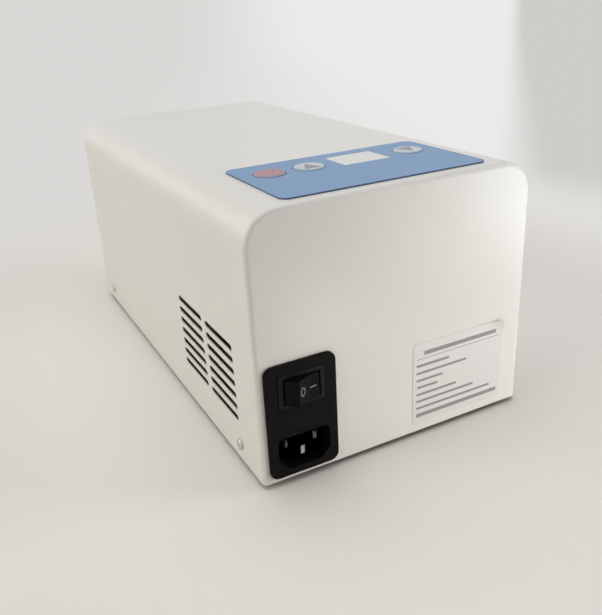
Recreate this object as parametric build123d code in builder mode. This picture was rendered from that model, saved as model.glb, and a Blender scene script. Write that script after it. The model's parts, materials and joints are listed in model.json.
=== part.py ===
"""Light curing unit of a dental laboratory, in millimetres.

Origin: on the bench under the middle of the case. +Z is up, the drawer opens towards -Y,
and the mains inlet is in the rear wall, at +Y.
"""

from build123d import *
from math import cos, radians, sin
import os

os.makedirs("parts", exist_ok=True)

# ---------------------------------------------------------------- driving dimensions

# Case of folded sheet
case_width = 137.0
case_length = 260.0
case_height = 118.0
sheet = 1.2
corner_radius = 15.0
rear_edge_radius = 2.0
foot_height = 2.5
flange_height = 14.8
panel_depth = 12.0
seat_gap = 0.3

# Feet
foot_diameter = 14.0
foot_inset_x = 16.0
foot_inset_y = 20.0
foot_recess_gap = 0.6
foot_recess_depth = 1.5
foot_bevel = 0.5

# Screws: one size on the outside, one inside
screw_shank = 3.0
screw_hole_gap = 0.2
screw_head_taper = 14
cover_head = 5.4
cover_head_height = 1.3
cover_screw_length = 5.0
inner_screw_length = 6.0
foot_screw_length = 4.5
inner_head = 5.6
inner_head_height = 1.8
cover_screw_lift = 8.0
cover_screw_front_inset = 18.5
cover_screw_rear_inset = 23.0

# Vents, the same field on both sides
vent_length = 31.0
vent_height = 3.0
vent_rows = 7
vent_land = 2.65
vent_column_gap = 4.6
vent_rear_inset = 22.8
vent_bottom_height = 21.0

# Curing chamber
rear_bay_length = 92.0
bulkhead_foot = 8.0
bulkhead_foot_inset = 4.0
lamp_count = 4
lamp_below_crown = 20.0
lamp_front_gap = 13.8
tube_diameter = 12.0
tube_spacing = 15.5
tube_bridge_diameter = 8.0
tube_bridge_from_tip = 10.0
tube_tip_round = 4.2
base_margin = 0.3
base_height = 17.5
base_length = 16.0
base_corner = 4.0
base_bevel = 1.0
nose_width = 21.0
nose_height = 13.4
nose_length = 19.5
socket_height = 19.0
socket_front_length = 14.0
socket_rear_width = 24.6
socket_rear_height = 16.5
socket_rear_length = 12.0
socket_corner = 1.5
nose_gap = 0.3
clip_thickness = 0.4
clip_gap = 0.1
clip_width = 8.0
clip_stem = 6.0
clip_lip = 3.0
clip_from_tip = 18.0
reflector_sheet = 0.8
reflector_crown_width = 14.0
reflector_side_gap = 2.5
reflector_top_gap = 0.1
reflector_trough_depth = 9.0
reflector_skirt_depth = 21.0
reflector_tab_height = 8.0
reflector_tab_width = 13.0

# Drawer
opening_lift = 6.5
opening_top_space = 16.0
opening_corner = 3.0
drawer_wall = 1.0
drawer_height = 42.0
drawer_rear_space = 18.0
drawer_corner = 3.0
drawer_lift = 3.0
drawer_rest = 35.5
front_overlap = 5.0
front_depth = 6.0
front_corner = 4.0
front_edge_radius = 1.5
seal_gap = 0.3
seal_proud = 0.4
mirror_thickness = 1.0
mirror_gap = 0.6
mirror_corner = 3.0
handle_spacing = 64.0
handle_diameter = 8.0
handle_reach = 20.0
handle_bend = 9.0
handle_screw_shank = 4.0
handle_screw_head = 7.6
handle_screw_head_height = 2.6
handle_screw_length = 12.0
glide_thickness = 4.9
glide_height = 6.1
glide_head_height = 7.2
glide_rear_inset = 3.0
glide_height_above_box = 15.4
runner_wall = 1.2
runner_lip = 3.5
runner_foot = 8.5
runner_foot_gap = 0.8
runner_gap = 0.4
runner_nib_length = 2.8
runner_stop_gap = 0.05
runner_rear_gap = 13.0

# Mains module, in the rear wall
module_edge_inset = 3.0
module_lift = 2.0
module_flange = 1.5
module_corner = 4.0
module_edge_round = 0.5
module_side_lip = 2.6
module_end_lip = 2.25
module_side_wall = 1.45
module_bottom_wall = 1.2
module_top_wall = 2.4
module_body_depth = 33.0
module_cut_gap = 0.3
cavity_width = 24.5
cavity_height = 15.6
cavity_depth = 17.0
cavity_chamfer = 4.5
cavity_round = 2.5
pin_spacing = 14.0
pin_offset = 2.0
pin_thickness = 2.0
pin_width = 4.0
live_pin_recess = 3.5
earth_pin_recess = 1.5
pin_tail = 5.0
pin_bevel = 0.7
fuse_front_lip = 0.75
fuse_front_height = 10.4
fuse_front_thickness = 1.6
fuse_above_cavity = 0.9
fuse_gap = 0.12
fuse_plate_corner = 0.5
fuse_front_stop = 1.0
fuse_pocket_height = 8.6
fuse_pocket_depth = 24.0
fuse_drawer_gap = 0.3
fuse_drawer_end_gap = 2.0
fuse_length = 20.0
fuse_diameter = 5.2
fuse_cap_length = 5.0
fuse_cap_step = 0.3
fuse_seat_gap = 0.2
fuse_seat_from_front = 15.5
switch_above_fuse = 2.2
bezel_side_lip = 0.35
bezel_end_lip = 0.85
bezel_proud = 0.3
bezel_seat = 0.8
bezel_gap = 0.25
bezel_corner = 0.8
bezel_edge_round = 0.3
switch_side_wall = 0.85
switch_end_wall = 1.0
switch_body_depth = 19.5
rocker_radius = 8.95
rocker_height = 11.2
rocker_side_gap = 0.3
rocker_well_gap = 0.65
rocker_pivot_depth = 4.2
rocker_ridge_angle = 38.3
rocker_skirt_angle = 85.0
rocker_scoop = 0.7
rocker_tilt = 18.0
rocker_hub_width = 5.2
rocker_hub_depth = 2.4
axle_diameter = 2.6
axle_gap = 0.05
axle_end_gap = 0.1

# Rating label, left bare
label_side_inset = 10.8
label_lift = 4.0
label_width = 50.9
label_height = 40.7
label_thickness = 0.2
label_corner = 2.0

# Keypad on the top, at the rear
overlay_rear_inset = 6.0
overlay_width = 98.0
overlay_length = 58.0
overlay_thickness = 0.7
overlay_corner = 4.0
key_row_shift = 10.6
key_start_x = 35.2
key_down_x = 16.2
key_up_x = -35.7
key_diameter = 14.0
key_gap = 0.3
key_proud = 0.5
key_bevel = 0.4
key_collar = 17.0
key_collar_thickness = 0.8
key_collar_gap = 0.1
key_stem = 3.0
key_travel = 0.4
window_x = -9.6
window_shift = 12.5
window_width = 23.6
window_length = 18.2
window_gap = 0.15
window_ledge = 1.0
window_edge_round = 0.2

# Control board, hung from the top
board_thickness = 1.6
board_corner = 2.0
control_width = 92.0
control_length = 56.0
display_width = 25.0
display_length = 19.0
display_height = 8.0
display_gap = 0.3
key_switch_size = 6.0
key_switch_height = 3.5
key_stem_entry = 0.6
key_end_gap = 0.2
standoff_diameter = 6.0
standoff_inset = 4.0

# Ballast board, on the base plate
ballast_side_gap = 5.3
ballast_front_gap = 8.0
ballast_pin_gap = 2.8
ballast_lift = 8.0
transformer_width = 22.0
transformer_length = 22.0
transformer_height = 24.0
transformer_core = 6.5
transformer_flange = 2.0
transformer_edge_inset = 5.5
component_gap = 3.5
capacitor_diameter = 11.0
capacitor_height = 22.0
capacitor_bevel = 0.8
choke_diameter = 13.0
choke_wire = 4.2
choke_bevel = 1.0
header_width = 16.0
header_length = 8.0
header_height = 9.0
header_edge_inset = 1.5

# Earth stud
earth_module_gap = 15.5
earth_rear_inset = 17.0
earth_diameter = 4.0
earth_length = 16.0
earth_washer = 10.0
earth_washer_thickness = 1.0
earth_nut = 8.0
earth_nut_height = 3.2
thread_gap = 0.05

# ------------------------------------------------------------------- derived places

screw_hole = screw_shank + 2 * screw_hole_gap
foot_recess_diameter = inner_head + 2 * foot_recess_gap

vent_row_pitch = vent_height + vent_land
vent_column_pitch = vent_length + vent_column_gap

half_width = case_width / 2
case_front = -case_length / 2
case_rear = case_length / 2
case_base = foot_height
case_top = case_base + case_height
floor_top = case_base + sheet
cover_screw_height = case_base + cover_screw_lift
inner_half = half_width - sheet
inner_top = case_top - sheet
inner_front = case_front + sheet
inner_rear = case_rear - sheet
inner_corner = corner_radius - sheet
bulkhead_y = case_rear - rear_bay_length
bulkhead_rear = bulkhead_y + sheet

reflector_crown_height = inner_top - sheet - reflector_top_gap - reflector_tab_height
reflector_ridge_height = reflector_crown_height - reflector_trough_depth
reflector_skirt_height = reflector_ridge_height - reflector_skirt_depth
lamp_pitch = 2 * (inner_half - reflector_side_gap) / lamp_count
lamp_places = [(i - (lamp_count - 1) / 2) * lamp_pitch for i in range(lamp_count)]
lamp_height = reflector_crown_height - lamp_below_crown
base_width = tube_spacing + tube_diameter + 2 * base_margin
socket_front = bulkhead_y - socket_front_length
base_front = socket_front - base_length
tube_tip = inner_front + lamp_front_gap
tube_length = base_front - tube_tip

drawer_front_rear = case_front - seal_gap - seal_proud
drawer_front_face = drawer_front_rear - front_depth
drawer_box_front = drawer_front_face + sheet
drawer_box_rear = bulkhead_y - drawer_rear_space
drawer_length = drawer_box_rear - drawer_box_front
drawer_travel = drawer_length - drawer_rest
drawer_side_space = sheet + runner_foot_gap + runner_foot + runner_gap + glide_thickness
drawer_width = 2 * (inner_half - drawer_side_space)
opening_bottom = case_base + opening_lift
drawer_bottom = opening_bottom + drawer_lift
opening_height = drawer_lift + drawer_height + opening_top_space
drawer_half = drawer_width / 2
glide_outer = drawer_half + glide_thickness
glide_bottom = drawer_bottom + glide_height_above_box
opening_half = glide_outer + runner_gap
opening_middle = opening_bottom + opening_height / 2
handle_height = opening_middle
front_width = 2 * (opening_half + front_overlap)
front_height = opening_height + 2 * front_overlap
runner_web = glide_outer + runner_gap
channel_bottom = glide_bottom - runner_gap
channel_top = glide_bottom + glide_head_height + runner_gap
runner_rear = bulkhead_y - runner_rear_gap
nib_depth = glide_head_height - glide_height
glide_front = inner_front + runner_gap
glide_rear = drawer_box_rear - glide_rear_inset
glide_head_front = inner_front + runner_nib_length + drawer_travel + runner_stop_gap

module_body_width = cavity_width + 2 * module_side_wall
module_width = module_body_width + 2 * module_side_lip
inlet_x = half_width - module_edge_inset - module_width / 2
fuse_front_width = cavity_width + 2 * fuse_front_lip
fuse_pocket_width = fuse_front_width - 2 * fuse_front_stop
module_front = case_rear + module_flange
module_bottom = case_base + module_lift
body_bottom = module_bottom + module_end_lip
cavity_z = body_bottom + module_bottom_wall + cavity_height / 2
cavity_floor = module_front - cavity_depth
module_rear = case_rear - module_body_depth
fuse_z = cavity_z + cavity_height / 2 + fuse_above_cavity + fuse_front_height / 2
well_radius = rocker_radius + rocker_well_gap
well_height = rocker_height + 2 * rocker_side_gap
switch_body_width = 2 * (well_radius + switch_side_wall)
switch_body_height = well_height + 2 * switch_end_wall
bezel_width = switch_body_width + 2 * bezel_side_lip
bezel_height = switch_body_height + 2 * bezel_end_lip
switch_z = fuse_z + fuse_front_height / 2 + switch_above_fuse + bezel_height / 2
body_top = switch_z + bezel_height / 2 + module_top_wall
module_body_height = body_top - body_bottom
module_height = module_body_height + 2 * module_end_lip
inlet_z = (body_bottom + body_top) / 2
bezel_front = module_front + bezel_proud
pivot_y = bezel_front - rocker_pivot_depth

label_x = label_width / 2 + label_side_inset - half_width
label_z = case_base + label_lift + label_height / 2
overlay_y = case_rear - overlay_rear_inset - overlay_length / 2
key_row_y = overlay_y - key_row_shift
window_y = overlay_y - window_shift
overlay_top = case_top + overlay_thickness
key_top = overlay_top + key_proud
key_switch_hole_depth = key_stem_entry + key_travel + key_end_gap
key_places = {
    "key_start": (key_start_x, key_row_y),
    "key_down": (key_down_x, key_row_y),
    "key_up": (key_up_x, key_row_y),
}
control_top = inner_top - display_gap - display_height
ballast_bottom = floor_top + ballast_lift
ballast_top = ballast_bottom + board_thickness
ballast_width = 2 * (inner_half - ballast_side_gap)
ballast_front = bulkhead_rear + ballast_front_gap
ballast_rear = module_rear - pin_tail - ballast_pin_gap
ballast_length = ballast_rear - ballast_front
ballast_y = (ballast_front + ballast_rear) / 2
transformer_x = ballast_width / 2 - transformer_edge_inset - transformer_width / 2
transformer_spacing = transformer_width + component_gap
choke_x = transformer_x - 1.5 * transformer_width - 2 * component_gap - choke_diameter / 2
choke_pitch = choke_diameter + component_gap / 2
capacitor_pitch = capacitor_diameter + component_gap
capacitor_x = choke_x - choke_diameter / 2 - component_gap - capacitor_diameter - component_gap / 2
header_shift = header_length / 2 + header_edge_inset

foot_spots = {
    "foot_front_left": (-half_width + foot_inset_x, case_front + foot_inset_y),
    "foot_front_right": (half_width - foot_inset_x, case_front + foot_inset_y),
    "foot_rear_left": (-half_width + foot_inset_x, case_rear - foot_inset_y),
    "foot_rear_right": (half_width - foot_inset_x, case_rear - foot_inset_y),
}
cover_screw_rows = [case_front + cover_screw_front_inset, case_rear - cover_screw_rear_inset]


# -------------------------------------------------------------------------- helpers


def upright(y):
    """Plane across the case at y, seen from the front: x to the right, z up."""
    return Plane.XZ.offset(-y)


def sideways(x):
    """Plane along the case at x, seen from the right: y to the right, z up."""
    return Plane.YZ.offset(x)


def write_piece(piece, name):
    """Name a finished piece and write it to its own file."""
    piece.part.label = name
    export_step(piece.part, f"parts/{name}.step")


def arch(half, bottom, top, radius):
    """Outline of the case in the current sketch: flat below, two rounded corners above."""
    with BuildSketch() as outline:
        with Locations((0, (bottom + top) / 2)):
            Rectangle(2 * half, top - bottom)
        fillet(outline.vertices().group_by(Axis.Y)[-1], radius)
    add(outline.sketch)


def block(x, z, width, height):
    """Rectangle in the current upright sketch, by its middle."""
    with Locations((x, z)):
        Rectangle(width, height)


# ------------------------------------------------------------------------- the case

with BuildPart() as housing_cover:
    with BuildSketch(upright(case_rear)):
        arch(half_width, case_base, case_top, corner_radius)
    extrude(amount=case_length)
    # the rear wall meets the sides and the top in one small bend
    rear_rim = housing_cover.faces().sort_by(Axis.Y)[-1].edges().sort_by(Axis.Z)[1:]
    fillet(rear_rim, rear_edge_radius)
    with BuildSketch(upright(inner_rear)):
        arch(inner_half, case_base, inner_top, inner_corner)
    extrude(amount=case_length - sheet, mode=Mode.SUBTRACT)
    inner_wall = housing_cover.faces().filter_by(Axis.Y).sort_by(Axis.Y)[-2]
    fillet(inner_wall.edges().sort_by(Axis.Z)[1:], rear_edge_radius - sheet)
    # vents, cut through both sides at once
    with BuildSketch(sideways(half_width)):
        vent_y = case_rear - vent_rear_inset - (vent_length + vent_column_pitch) / 2
        vent_z = case_base + vent_bottom_height + (vent_rows - 1) * vent_row_pitch / 2
        with Locations((vent_y, vent_z)):
            with GridLocations(vent_column_pitch, vent_row_pitch, 2, vent_rows):
                SlotOverall(vent_length, vent_height)
    extrude(amount=-case_width, mode=Mode.SUBTRACT)
    # holes for the side screws
    with BuildSketch(sideways(half_width)):
        with Locations(*[(y, cover_screw_height) for y in cover_screw_rows]):
            Circle(screw_hole / 2)
    extrude(amount=-case_width, mode=Mode.SUBTRACT)
    # holes for the keys and for the view of the display
    with BuildSketch(Plane.XY.offset(case_top)):
        with Locations(*key_places.values()):
            Circle(key_diameter / 2 + key_gap)
        with Locations((window_x, window_y)):
            Rectangle(window_width - 2 * window_ledge, window_length - 2 * window_ledge)
    extrude(amount=-sheet, mode=Mode.SUBTRACT)
    # hole for the mains module
    with BuildSketch(upright(case_rear)):
        block(
            inlet_x,
            inlet_z,
            module_body_width + 2 * module_cut_gap,
            module_body_height + 2 * module_cut_gap,
        )
    extrude(amount=sheet, mode=Mode.SUBTRACT)
write_piece(housing_cover, "housing_cover")

with BuildPart() as base_plate:
    with BuildSketch(Plane.XY.offset(case_base)) as base_floor:
        with Locations((0, (inner_front + inner_rear) / 2)):
            Rectangle(2 * inner_half, inner_rear - inner_front)
        fillet(base_floor.vertices().group_by(Axis.Y)[-1], rear_edge_radius)
        with Locations(*foot_spots.values()):
            Circle(screw_hole / 2, mode=Mode.SUBTRACT)
    extrude(amount=sheet)
    # side flanges, which take the screws of the cover
    flange_front = case_front + panel_depth + seat_gap
    flange_rear = inner_rear - rear_edge_radius
    with BuildSketch(upright(flange_rear)):
        for side in (-1, 1):
            block(
                side * (inner_half - sheet / 2),
                floor_top + flange_height / 2,
                sheet,
                flange_height,
            )
    extrude(amount=flange_rear - flange_front)
    with BuildSketch(sideways(half_width)):
        with Locations(*[(y, cover_screw_height) for y in cover_screw_rows]):
            Circle(screw_shank / 2 + thread_gap)
    extrude(amount=-case_width, mode=Mode.SUBTRACT)
write_piece(base_plate, "base_plate")

with BuildPart() as front_panel:
    with BuildSketch(upright(case_front + panel_depth)):
        arch(inner_half, case_base, inner_top, inner_corner)
    extrude(amount=panel_depth)
    # only the rim stands back into the cover, and it ends on the base plate
    with BuildSketch(upright(case_front + panel_depth)):
        arch(inner_half - sheet, case_base, inner_top - sheet, inner_corner - sheet)
        block(0, (case_base + floor_top) / 2, 2 * inner_half, sheet)
    extrude(amount=panel_depth - sheet, mode=Mode.SUBTRACT)
    with BuildSketch(upright(inner_front)) as drawer_opening:
        block(0, opening_middle, 2 * opening_half, opening_height)
        fillet(drawer_opening.vertices(), opening_corner)
    extrude(amount=sheet, mode=Mode.SUBTRACT)
write_piece(front_panel, "front_panel")

with BuildPart() as bulkhead:
    with BuildSketch(upright(bulkhead_rear)):
        arch(inner_half, floor_top, inner_top, inner_corner)
        # notches round the side flanges of the base plate
        for side in (-1, 1):
            with Locations((side * inner_half, floor_top)):
                notch_width = 2 * (sheet + seat_gap)
                notch_height = 2 * (flange_height + seat_gap)
                Rectangle(notch_width, notch_height, mode=Mode.SUBTRACT)
        # cut-outs for the lamp sockets
        for x in lamp_places:
            with Locations((x, lamp_height)):
                Rectangle(
                    socket_rear_width + 2 * nose_gap,
                    socket_rear_height + 2 * nose_gap,
                    mode=Mode.SUBTRACT,
                )
        # holes for the two screws of the reflector
        for x in lamp_places[1:3]:
            with Locations((x, reflector_crown_height + reflector_tab_height / 2)):
                Circle(screw_shank / 2 + thread_gap, mode=Mode.SUBTRACT)
    extrude(amount=sheet)
    with BuildSketch(Plane.XY.offset(floor_top)):
        with Locations((0, bulkhead_rear + bulkhead_foot / 2)):
            Rectangle(2 * (inner_half - sheet - bulkhead_foot_inset), bulkhead_foot)
    extrude(amount=sheet)
write_piece(bulkhead, "bulkhead")

# ------------------------------------------------------------------- feet and screws

for foot_name, foot_spot in foot_spots.items():
    with BuildPart() as foot:
        with BuildSketch(Plane.XY):
            with Locations(foot_spot):
                Circle(foot_diameter / 2)
        extrude(amount=foot_height)
        chamfer(foot.edges().group_by(Axis.Z)[0], foot_bevel)
        with BuildSketch(Plane.XY):
            with Locations(foot_spot):
                Circle(foot_recess_diameter / 2)
        extrude(amount=foot_recess_depth, mode=Mode.SUBTRACT)
        with BuildSketch(Plane.XY):
            with Locations(foot_spot):
                Circle(screw_hole / 2)
        extrude(amount=foot_height, mode=Mode.SUBTRACT)
    write_piece(foot, foot_name)


def pan_screw(plane, shank, length, head, head_height):
    """Pan-head screw: the head stands on the plane, the shank goes down into it."""
    with BuildSketch(plane) as head_face:
        Circle(head / 2)
    extrude(head_face.sketch, amount=head_height, taper=screw_head_taper)
    with BuildSketch(plane) as shank_face:
        Circle(shank / 2)
    extrude(shank_face.sketch, amount=-length)


with BuildPart() as foot_screws:
    for x, y in foot_spots.values():
        under_foot = Plane(origin=(x, y, foot_recess_depth), z_dir=(0, 0, -1))
        pan_screw(under_foot, screw_shank, foot_screw_length, inner_head, foot_recess_depth - seat_gap)
write_piece(foot_screws, "foot_screws")

with BuildPart() as cover_screws:
    for side in (-1, 1):
        for y in cover_screw_rows:
            on_side = Plane(
                origin=(side * half_width, y, cover_screw_height), z_dir=(side, 0, 0)
            )
            pan_screw(on_side, screw_shank, cover_screw_length, cover_head, cover_head_height)
write_piece(cover_screws, "cover_screws")

# ------------------------------------------------------------------ lamps and reflector

for number, lamp_x in enumerate(lamp_places, start=1):
    with BuildPart() as lamp_socket:
        with BuildSketch(upright(bulkhead_y)) as socket_face:
            block(lamp_x, lamp_height, base_width, socket_height)
            fillet(socket_face.vertices(), socket_corner)
        extrude(amount=socket_front_length)
        with BuildSketch(upright(bulkhead_y + socket_rear_length)):
            block(lamp_x, lamp_height, socket_rear_width, socket_rear_height)
        extrude(amount=socket_rear_length)
        with BuildSketch(upright(socket_front + nose_length + nose_gap)):
            block(
                lamp_x,
                lamp_height,
                nose_width + 2 * nose_gap,
                nose_height + 2 * nose_gap,
            )
        extrude(amount=nose_length + nose_gap, mode=Mode.SUBTRACT)
    write_piece(lamp_socket, f"lamp_socket_{number}")

    with BuildPart() as lamp_base:
        with BuildSketch(upright(socket_front)) as collar:
            block(lamp_x, lamp_height, base_width, base_height)
            fillet(collar.vertices(), base_corner)
        extrude(amount=base_length)
        chamfer(lamp_base.faces().sort_by(Axis.Y)[0].edges(), base_bevel)
        with BuildSketch(upright(socket_front + nose_length)):
            block(lamp_x, lamp_height, nose_width, nose_height)
        extrude(amount=nose_length)
    write_piece(lamp_base, f"lamp_base_{number}")

    with BuildPart() as lamp_glass:
        with BuildSketch(upright(base_front)):
            with Locations((lamp_x, lamp_height)):
                with GridLocations(tube_spacing, 1, 2, 1):
                    Circle(tube_diameter / 2)
        extrude(amount=tube_length)
        fillet(lamp_glass.faces().sort_by(Axis.Y)[:2].edges(), tube_tip_round)
        # the two tubes are joined by a short bridge near their tips
        with BuildSketch(sideways(lamp_x - tube_spacing / 2)):
            with Locations((tube_tip + tube_bridge_from_tip, lamp_height)):
                Circle(tube_bridge_diameter / 2)
        extrude(amount=tube_spacing)
    write_piece(lamp_glass, f"lamp_glass_{number}")

with BuildPart() as lamp_clips:
    clip_inner_width = tube_spacing + tube_diameter + 2 * clip_gap
    clip_inner_height = tube_diameter + 2 * clip_gap
    for x in lamp_places:
        with BuildSketch(upright(tube_tip + clip_from_tip + clip_width / 2)):
            with Locations((x, lamp_height)):
                SlotOverall(
                    clip_inner_width + 2 * clip_thickness,
                    clip_inner_height + 2 * clip_thickness,
                )
            clip_crown = lamp_height + clip_inner_height / 2 + clip_thickness / 2
            with Locations((x, (clip_crown + reflector_crown_height) / 2)):
                Rectangle(clip_stem, reflector_crown_height - clip_crown)
            with Locations((x, lamp_height)):
                SlotOverall(clip_inner_width, clip_inner_height, mode=Mode.SUBTRACT)
            # open below, so that the lamp snaps in
            with Locations((x, lamp_height - clip_lip - tube_diameter / 2)):
                Rectangle(2 * clip_inner_width, tube_diameter, mode=Mode.SUBTRACT)
        extrude(amount=clip_width)
write_piece(lamp_clips, "lamp_clips")

with BuildPart() as lamp_reflector:
    skirt = lamp_places[-1] + lamp_pitch / 2
    folds = [(-skirt, reflector_skirt_height), (-skirt, reflector_ridge_height)]
    for x in lamp_places:
        folds.append((x - reflector_crown_width / 2, reflector_crown_height))
        folds.append((x + reflector_crown_width / 2, reflector_crown_height))
        folds.append((x + lamp_pitch / 2, reflector_ridge_height))
    folds.append((skirt, reflector_skirt_height))
    with BuildSketch(upright(bulkhead_y)):
        with BuildLine():
            Polyline(*folds)
            offset(amount=reflector_sheet, side=Side.LEFT)
        make_face()
    extrude(amount=bulkhead_y - inner_front)
    # tabs at both ends, bent up from the crowns of the two middle troughs
    for tab_rear in (bulkhead_y, inner_front + reflector_sheet):
        with BuildSketch(upright(tab_rear)):
            for x in lamp_places[1:3]:
                with Locations((x, reflector_crown_height + reflector_tab_height / 2)):
                    Rectangle(reflector_tab_width, reflector_tab_height)
        extrude(amount=reflector_sheet)
    with BuildSketch(upright(bulkhead_y)):
        for x in lamp_places[1:3]:
            with Locations((x, reflector_crown_height + reflector_tab_height / 2)):
                Circle(screw_shank / 2 + thread_gap)
    extrude(amount=reflector_sheet, mode=Mode.SUBTRACT)
write_piece(lamp_reflector, "lamp_reflector")

# ------------------------------------------------------------------------- the drawer

with BuildPart() as drawer_box:
    with BuildSketch(Plane.XY.offset(drawer_bottom)) as tray:
        with Locations((0, (drawer_box_front + drawer_box_rear) / 2)):
            Rectangle(drawer_width, drawer_length)
        fillet(tray.vertices().group_by(Axis.Y)[-1], drawer_corner)
    extrude(amount=drawer_height)
    offset(amount=-drawer_wall, openings=drawer_box.faces().sort_by(Axis.Z)[-1])
    with BuildSketch(upright(drawer_box_front + drawer_wall)):
        with Locations((0, handle_height)):
            with GridLocations(handle_spacing, 1, 2, 1):
                Circle(handle_screw_shank / 2 + thread_gap)
    extrude(amount=drawer_wall, mode=Mode.SUBTRACT)
write_piece(drawer_box, "drawer_box")

with BuildPart() as drawer_front:
    with BuildSketch(upright(drawer_front_rear)) as front_face:
        block(0, opening_middle, front_width, front_height)
        fillet(front_face.vertices(), front_corner)
    extrude(amount=front_depth)
    fillet(drawer_front.faces().sort_by(Axis.Y)[0].edges(), front_edge_radius)
    with BuildSketch(upright(drawer_front_rear)) as front_hollow:
        block(0, opening_middle, front_width - 2 * sheet, front_height - 2 * sheet)
        fillet(front_hollow.vertices(), front_corner - sheet)
    extrude(amount=front_depth - sheet, mode=Mode.SUBTRACT)
    with BuildSketch(upright(drawer_box_front)):
        with Locations((0, handle_height)):
            with GridLocations(handle_spacing, 1, 2, 1):
                Circle(handle_screw_shank / 2 + thread_gap)
    extrude(amount=sheet, mode=Mode.SUBTRACT)
write_piece(drawer_front, "drawer_front")

with BuildPart() as light_seal:
    with BuildSketch(upright(drawer_front_rear + seal_proud)) as seal_ring:
        block(0, opening_middle, front_width - 2 * sheet, front_height - 2 * sheet)
        fillet(seal_ring.vertices(), front_corner - sheet)
        with Locations((0, opening_middle)):
            Rectangle(2 * opening_half, opening_height, mode=Mode.SUBTRACT)
    extrude(amount=front_depth - sheet + seal_proud)
write_piece(light_seal, "light_seal")

with BuildPart() as tray_mirror:
    mirror_width = drawer_width - 2 * drawer_wall - 2 * mirror_gap
    mirror_length = drawer_length - 2 * drawer_wall - 2 * mirror_gap
    with BuildSketch(Plane.XY.offset(drawer_bottom + drawer_wall)) as mirror_face:
        with Locations((0, (drawer_box_front + drawer_box_rear) / 2)):
            Rectangle(mirror_width, mirror_length)
        fillet(mirror_face.vertices(), mirror_corner)
    extrude(amount=mirror_thickness)
write_piece(tray_mirror, "tray_mirror")

with BuildPart() as drawer_handle:
    grip_y = drawer_front_face - handle_reach
    with BuildLine() as bow:
        FilletPolyline(
            (-handle_spacing / 2, drawer_front_face, handle_height),
            (-handle_spacing / 2, grip_y, handle_height),
            (handle_spacing / 2, grip_y, handle_height),
            (handle_spacing / 2, drawer_front_face, handle_height),
            radius=handle_bend,
        )
    with BuildSketch(Plane(origin=bow.line @ 0, z_dir=bow.line % 0)):
        Circle(handle_diameter / 2)
    sweep()
    with BuildSketch(upright(drawer_front_face)):
        with Locations((0, handle_height)):
            with GridLocations(handle_spacing, 1, 2, 1):
                Circle(handle_screw_shank / 2 + thread_gap)
    extrude(amount=handle_screw_length, mode=Mode.SUBTRACT)
write_piece(drawer_handle, "drawer_handle")

with BuildPart() as handle_screws:
    for side in (-1, 1):
        in_box = Plane(
            origin=(side * handle_spacing / 2, drawer_box_front + drawer_wall, handle_height),
            z_dir=(0, 1, 0),
        )
        pan_screw(
            in_box,
            handle_screw_shank,
            handle_screw_length,
            handle_screw_head,
            handle_screw_head_height,
        )
write_piece(handle_screws, "handle_screws")

for side, side_name in ((-1, "left"), (1, "right")):
    with BuildPart() as drawer_glide:
        glide_x = side * (drawer_half + glide_thickness / 2)
        with BuildSketch(upright(glide_rear)):
            block(glide_x, glide_bottom + glide_height / 2, glide_thickness, glide_height)
        extrude(amount=glide_rear - glide_front)
        # the taller head at the rear meets the nib of the runner at full travel
        with BuildSketch(upright(glide_rear)):
            block(
                glide_x,
                glide_bottom + glide_head_height / 2,
                glide_thickness,
                glide_head_height,
            )
        extrude(amount=glide_rear - glide_head_front)
    write_piece(drawer_glide, f"drawer_glide_{side_name}")

    with BuildPart() as drawer_runner:
        with BuildSketch(upright(runner_rear)):
            web_height = channel_top + runner_wall - floor_top
            web_x = side * (runner_web + runner_wall / 2)
            block(web_x, floor_top + web_height / 2, runner_wall, web_height)
            runner_foot_x = side * (runner_web + runner_foot / 2)
            block(runner_foot_x, floor_top + runner_wall / 2, runner_foot, runner_wall)
            lip_x = side * (runner_web - runner_lip / 2)
            block(lip_x, channel_top + runner_wall / 2, runner_lip, runner_wall)
            block(lip_x, channel_bottom - runner_wall / 2, runner_lip, runner_wall)
        extrude(amount=runner_rear - inner_front)
        # nib that stops the drawer
        with BuildSketch(upright(inner_front + runner_nib_length)):
            block(lip_x, channel_top - nib_depth / 2, runner_lip, nib_depth)
        extrude(amount=runner_nib_length)
    write_piece(drawer_runner, f"drawer_runner_{side_name}")

# ------------------------------------------------------------------- the mains module

pin_places = [
    (inlet_x - pin_spacing / 2, cavity_z + pin_offset, live_pin_recess),
    (inlet_x + pin_spacing / 2, cavity_z + pin_offset, live_pin_recess),
    (inlet_x, cavity_z - pin_offset, earth_pin_recess),
]

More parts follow.
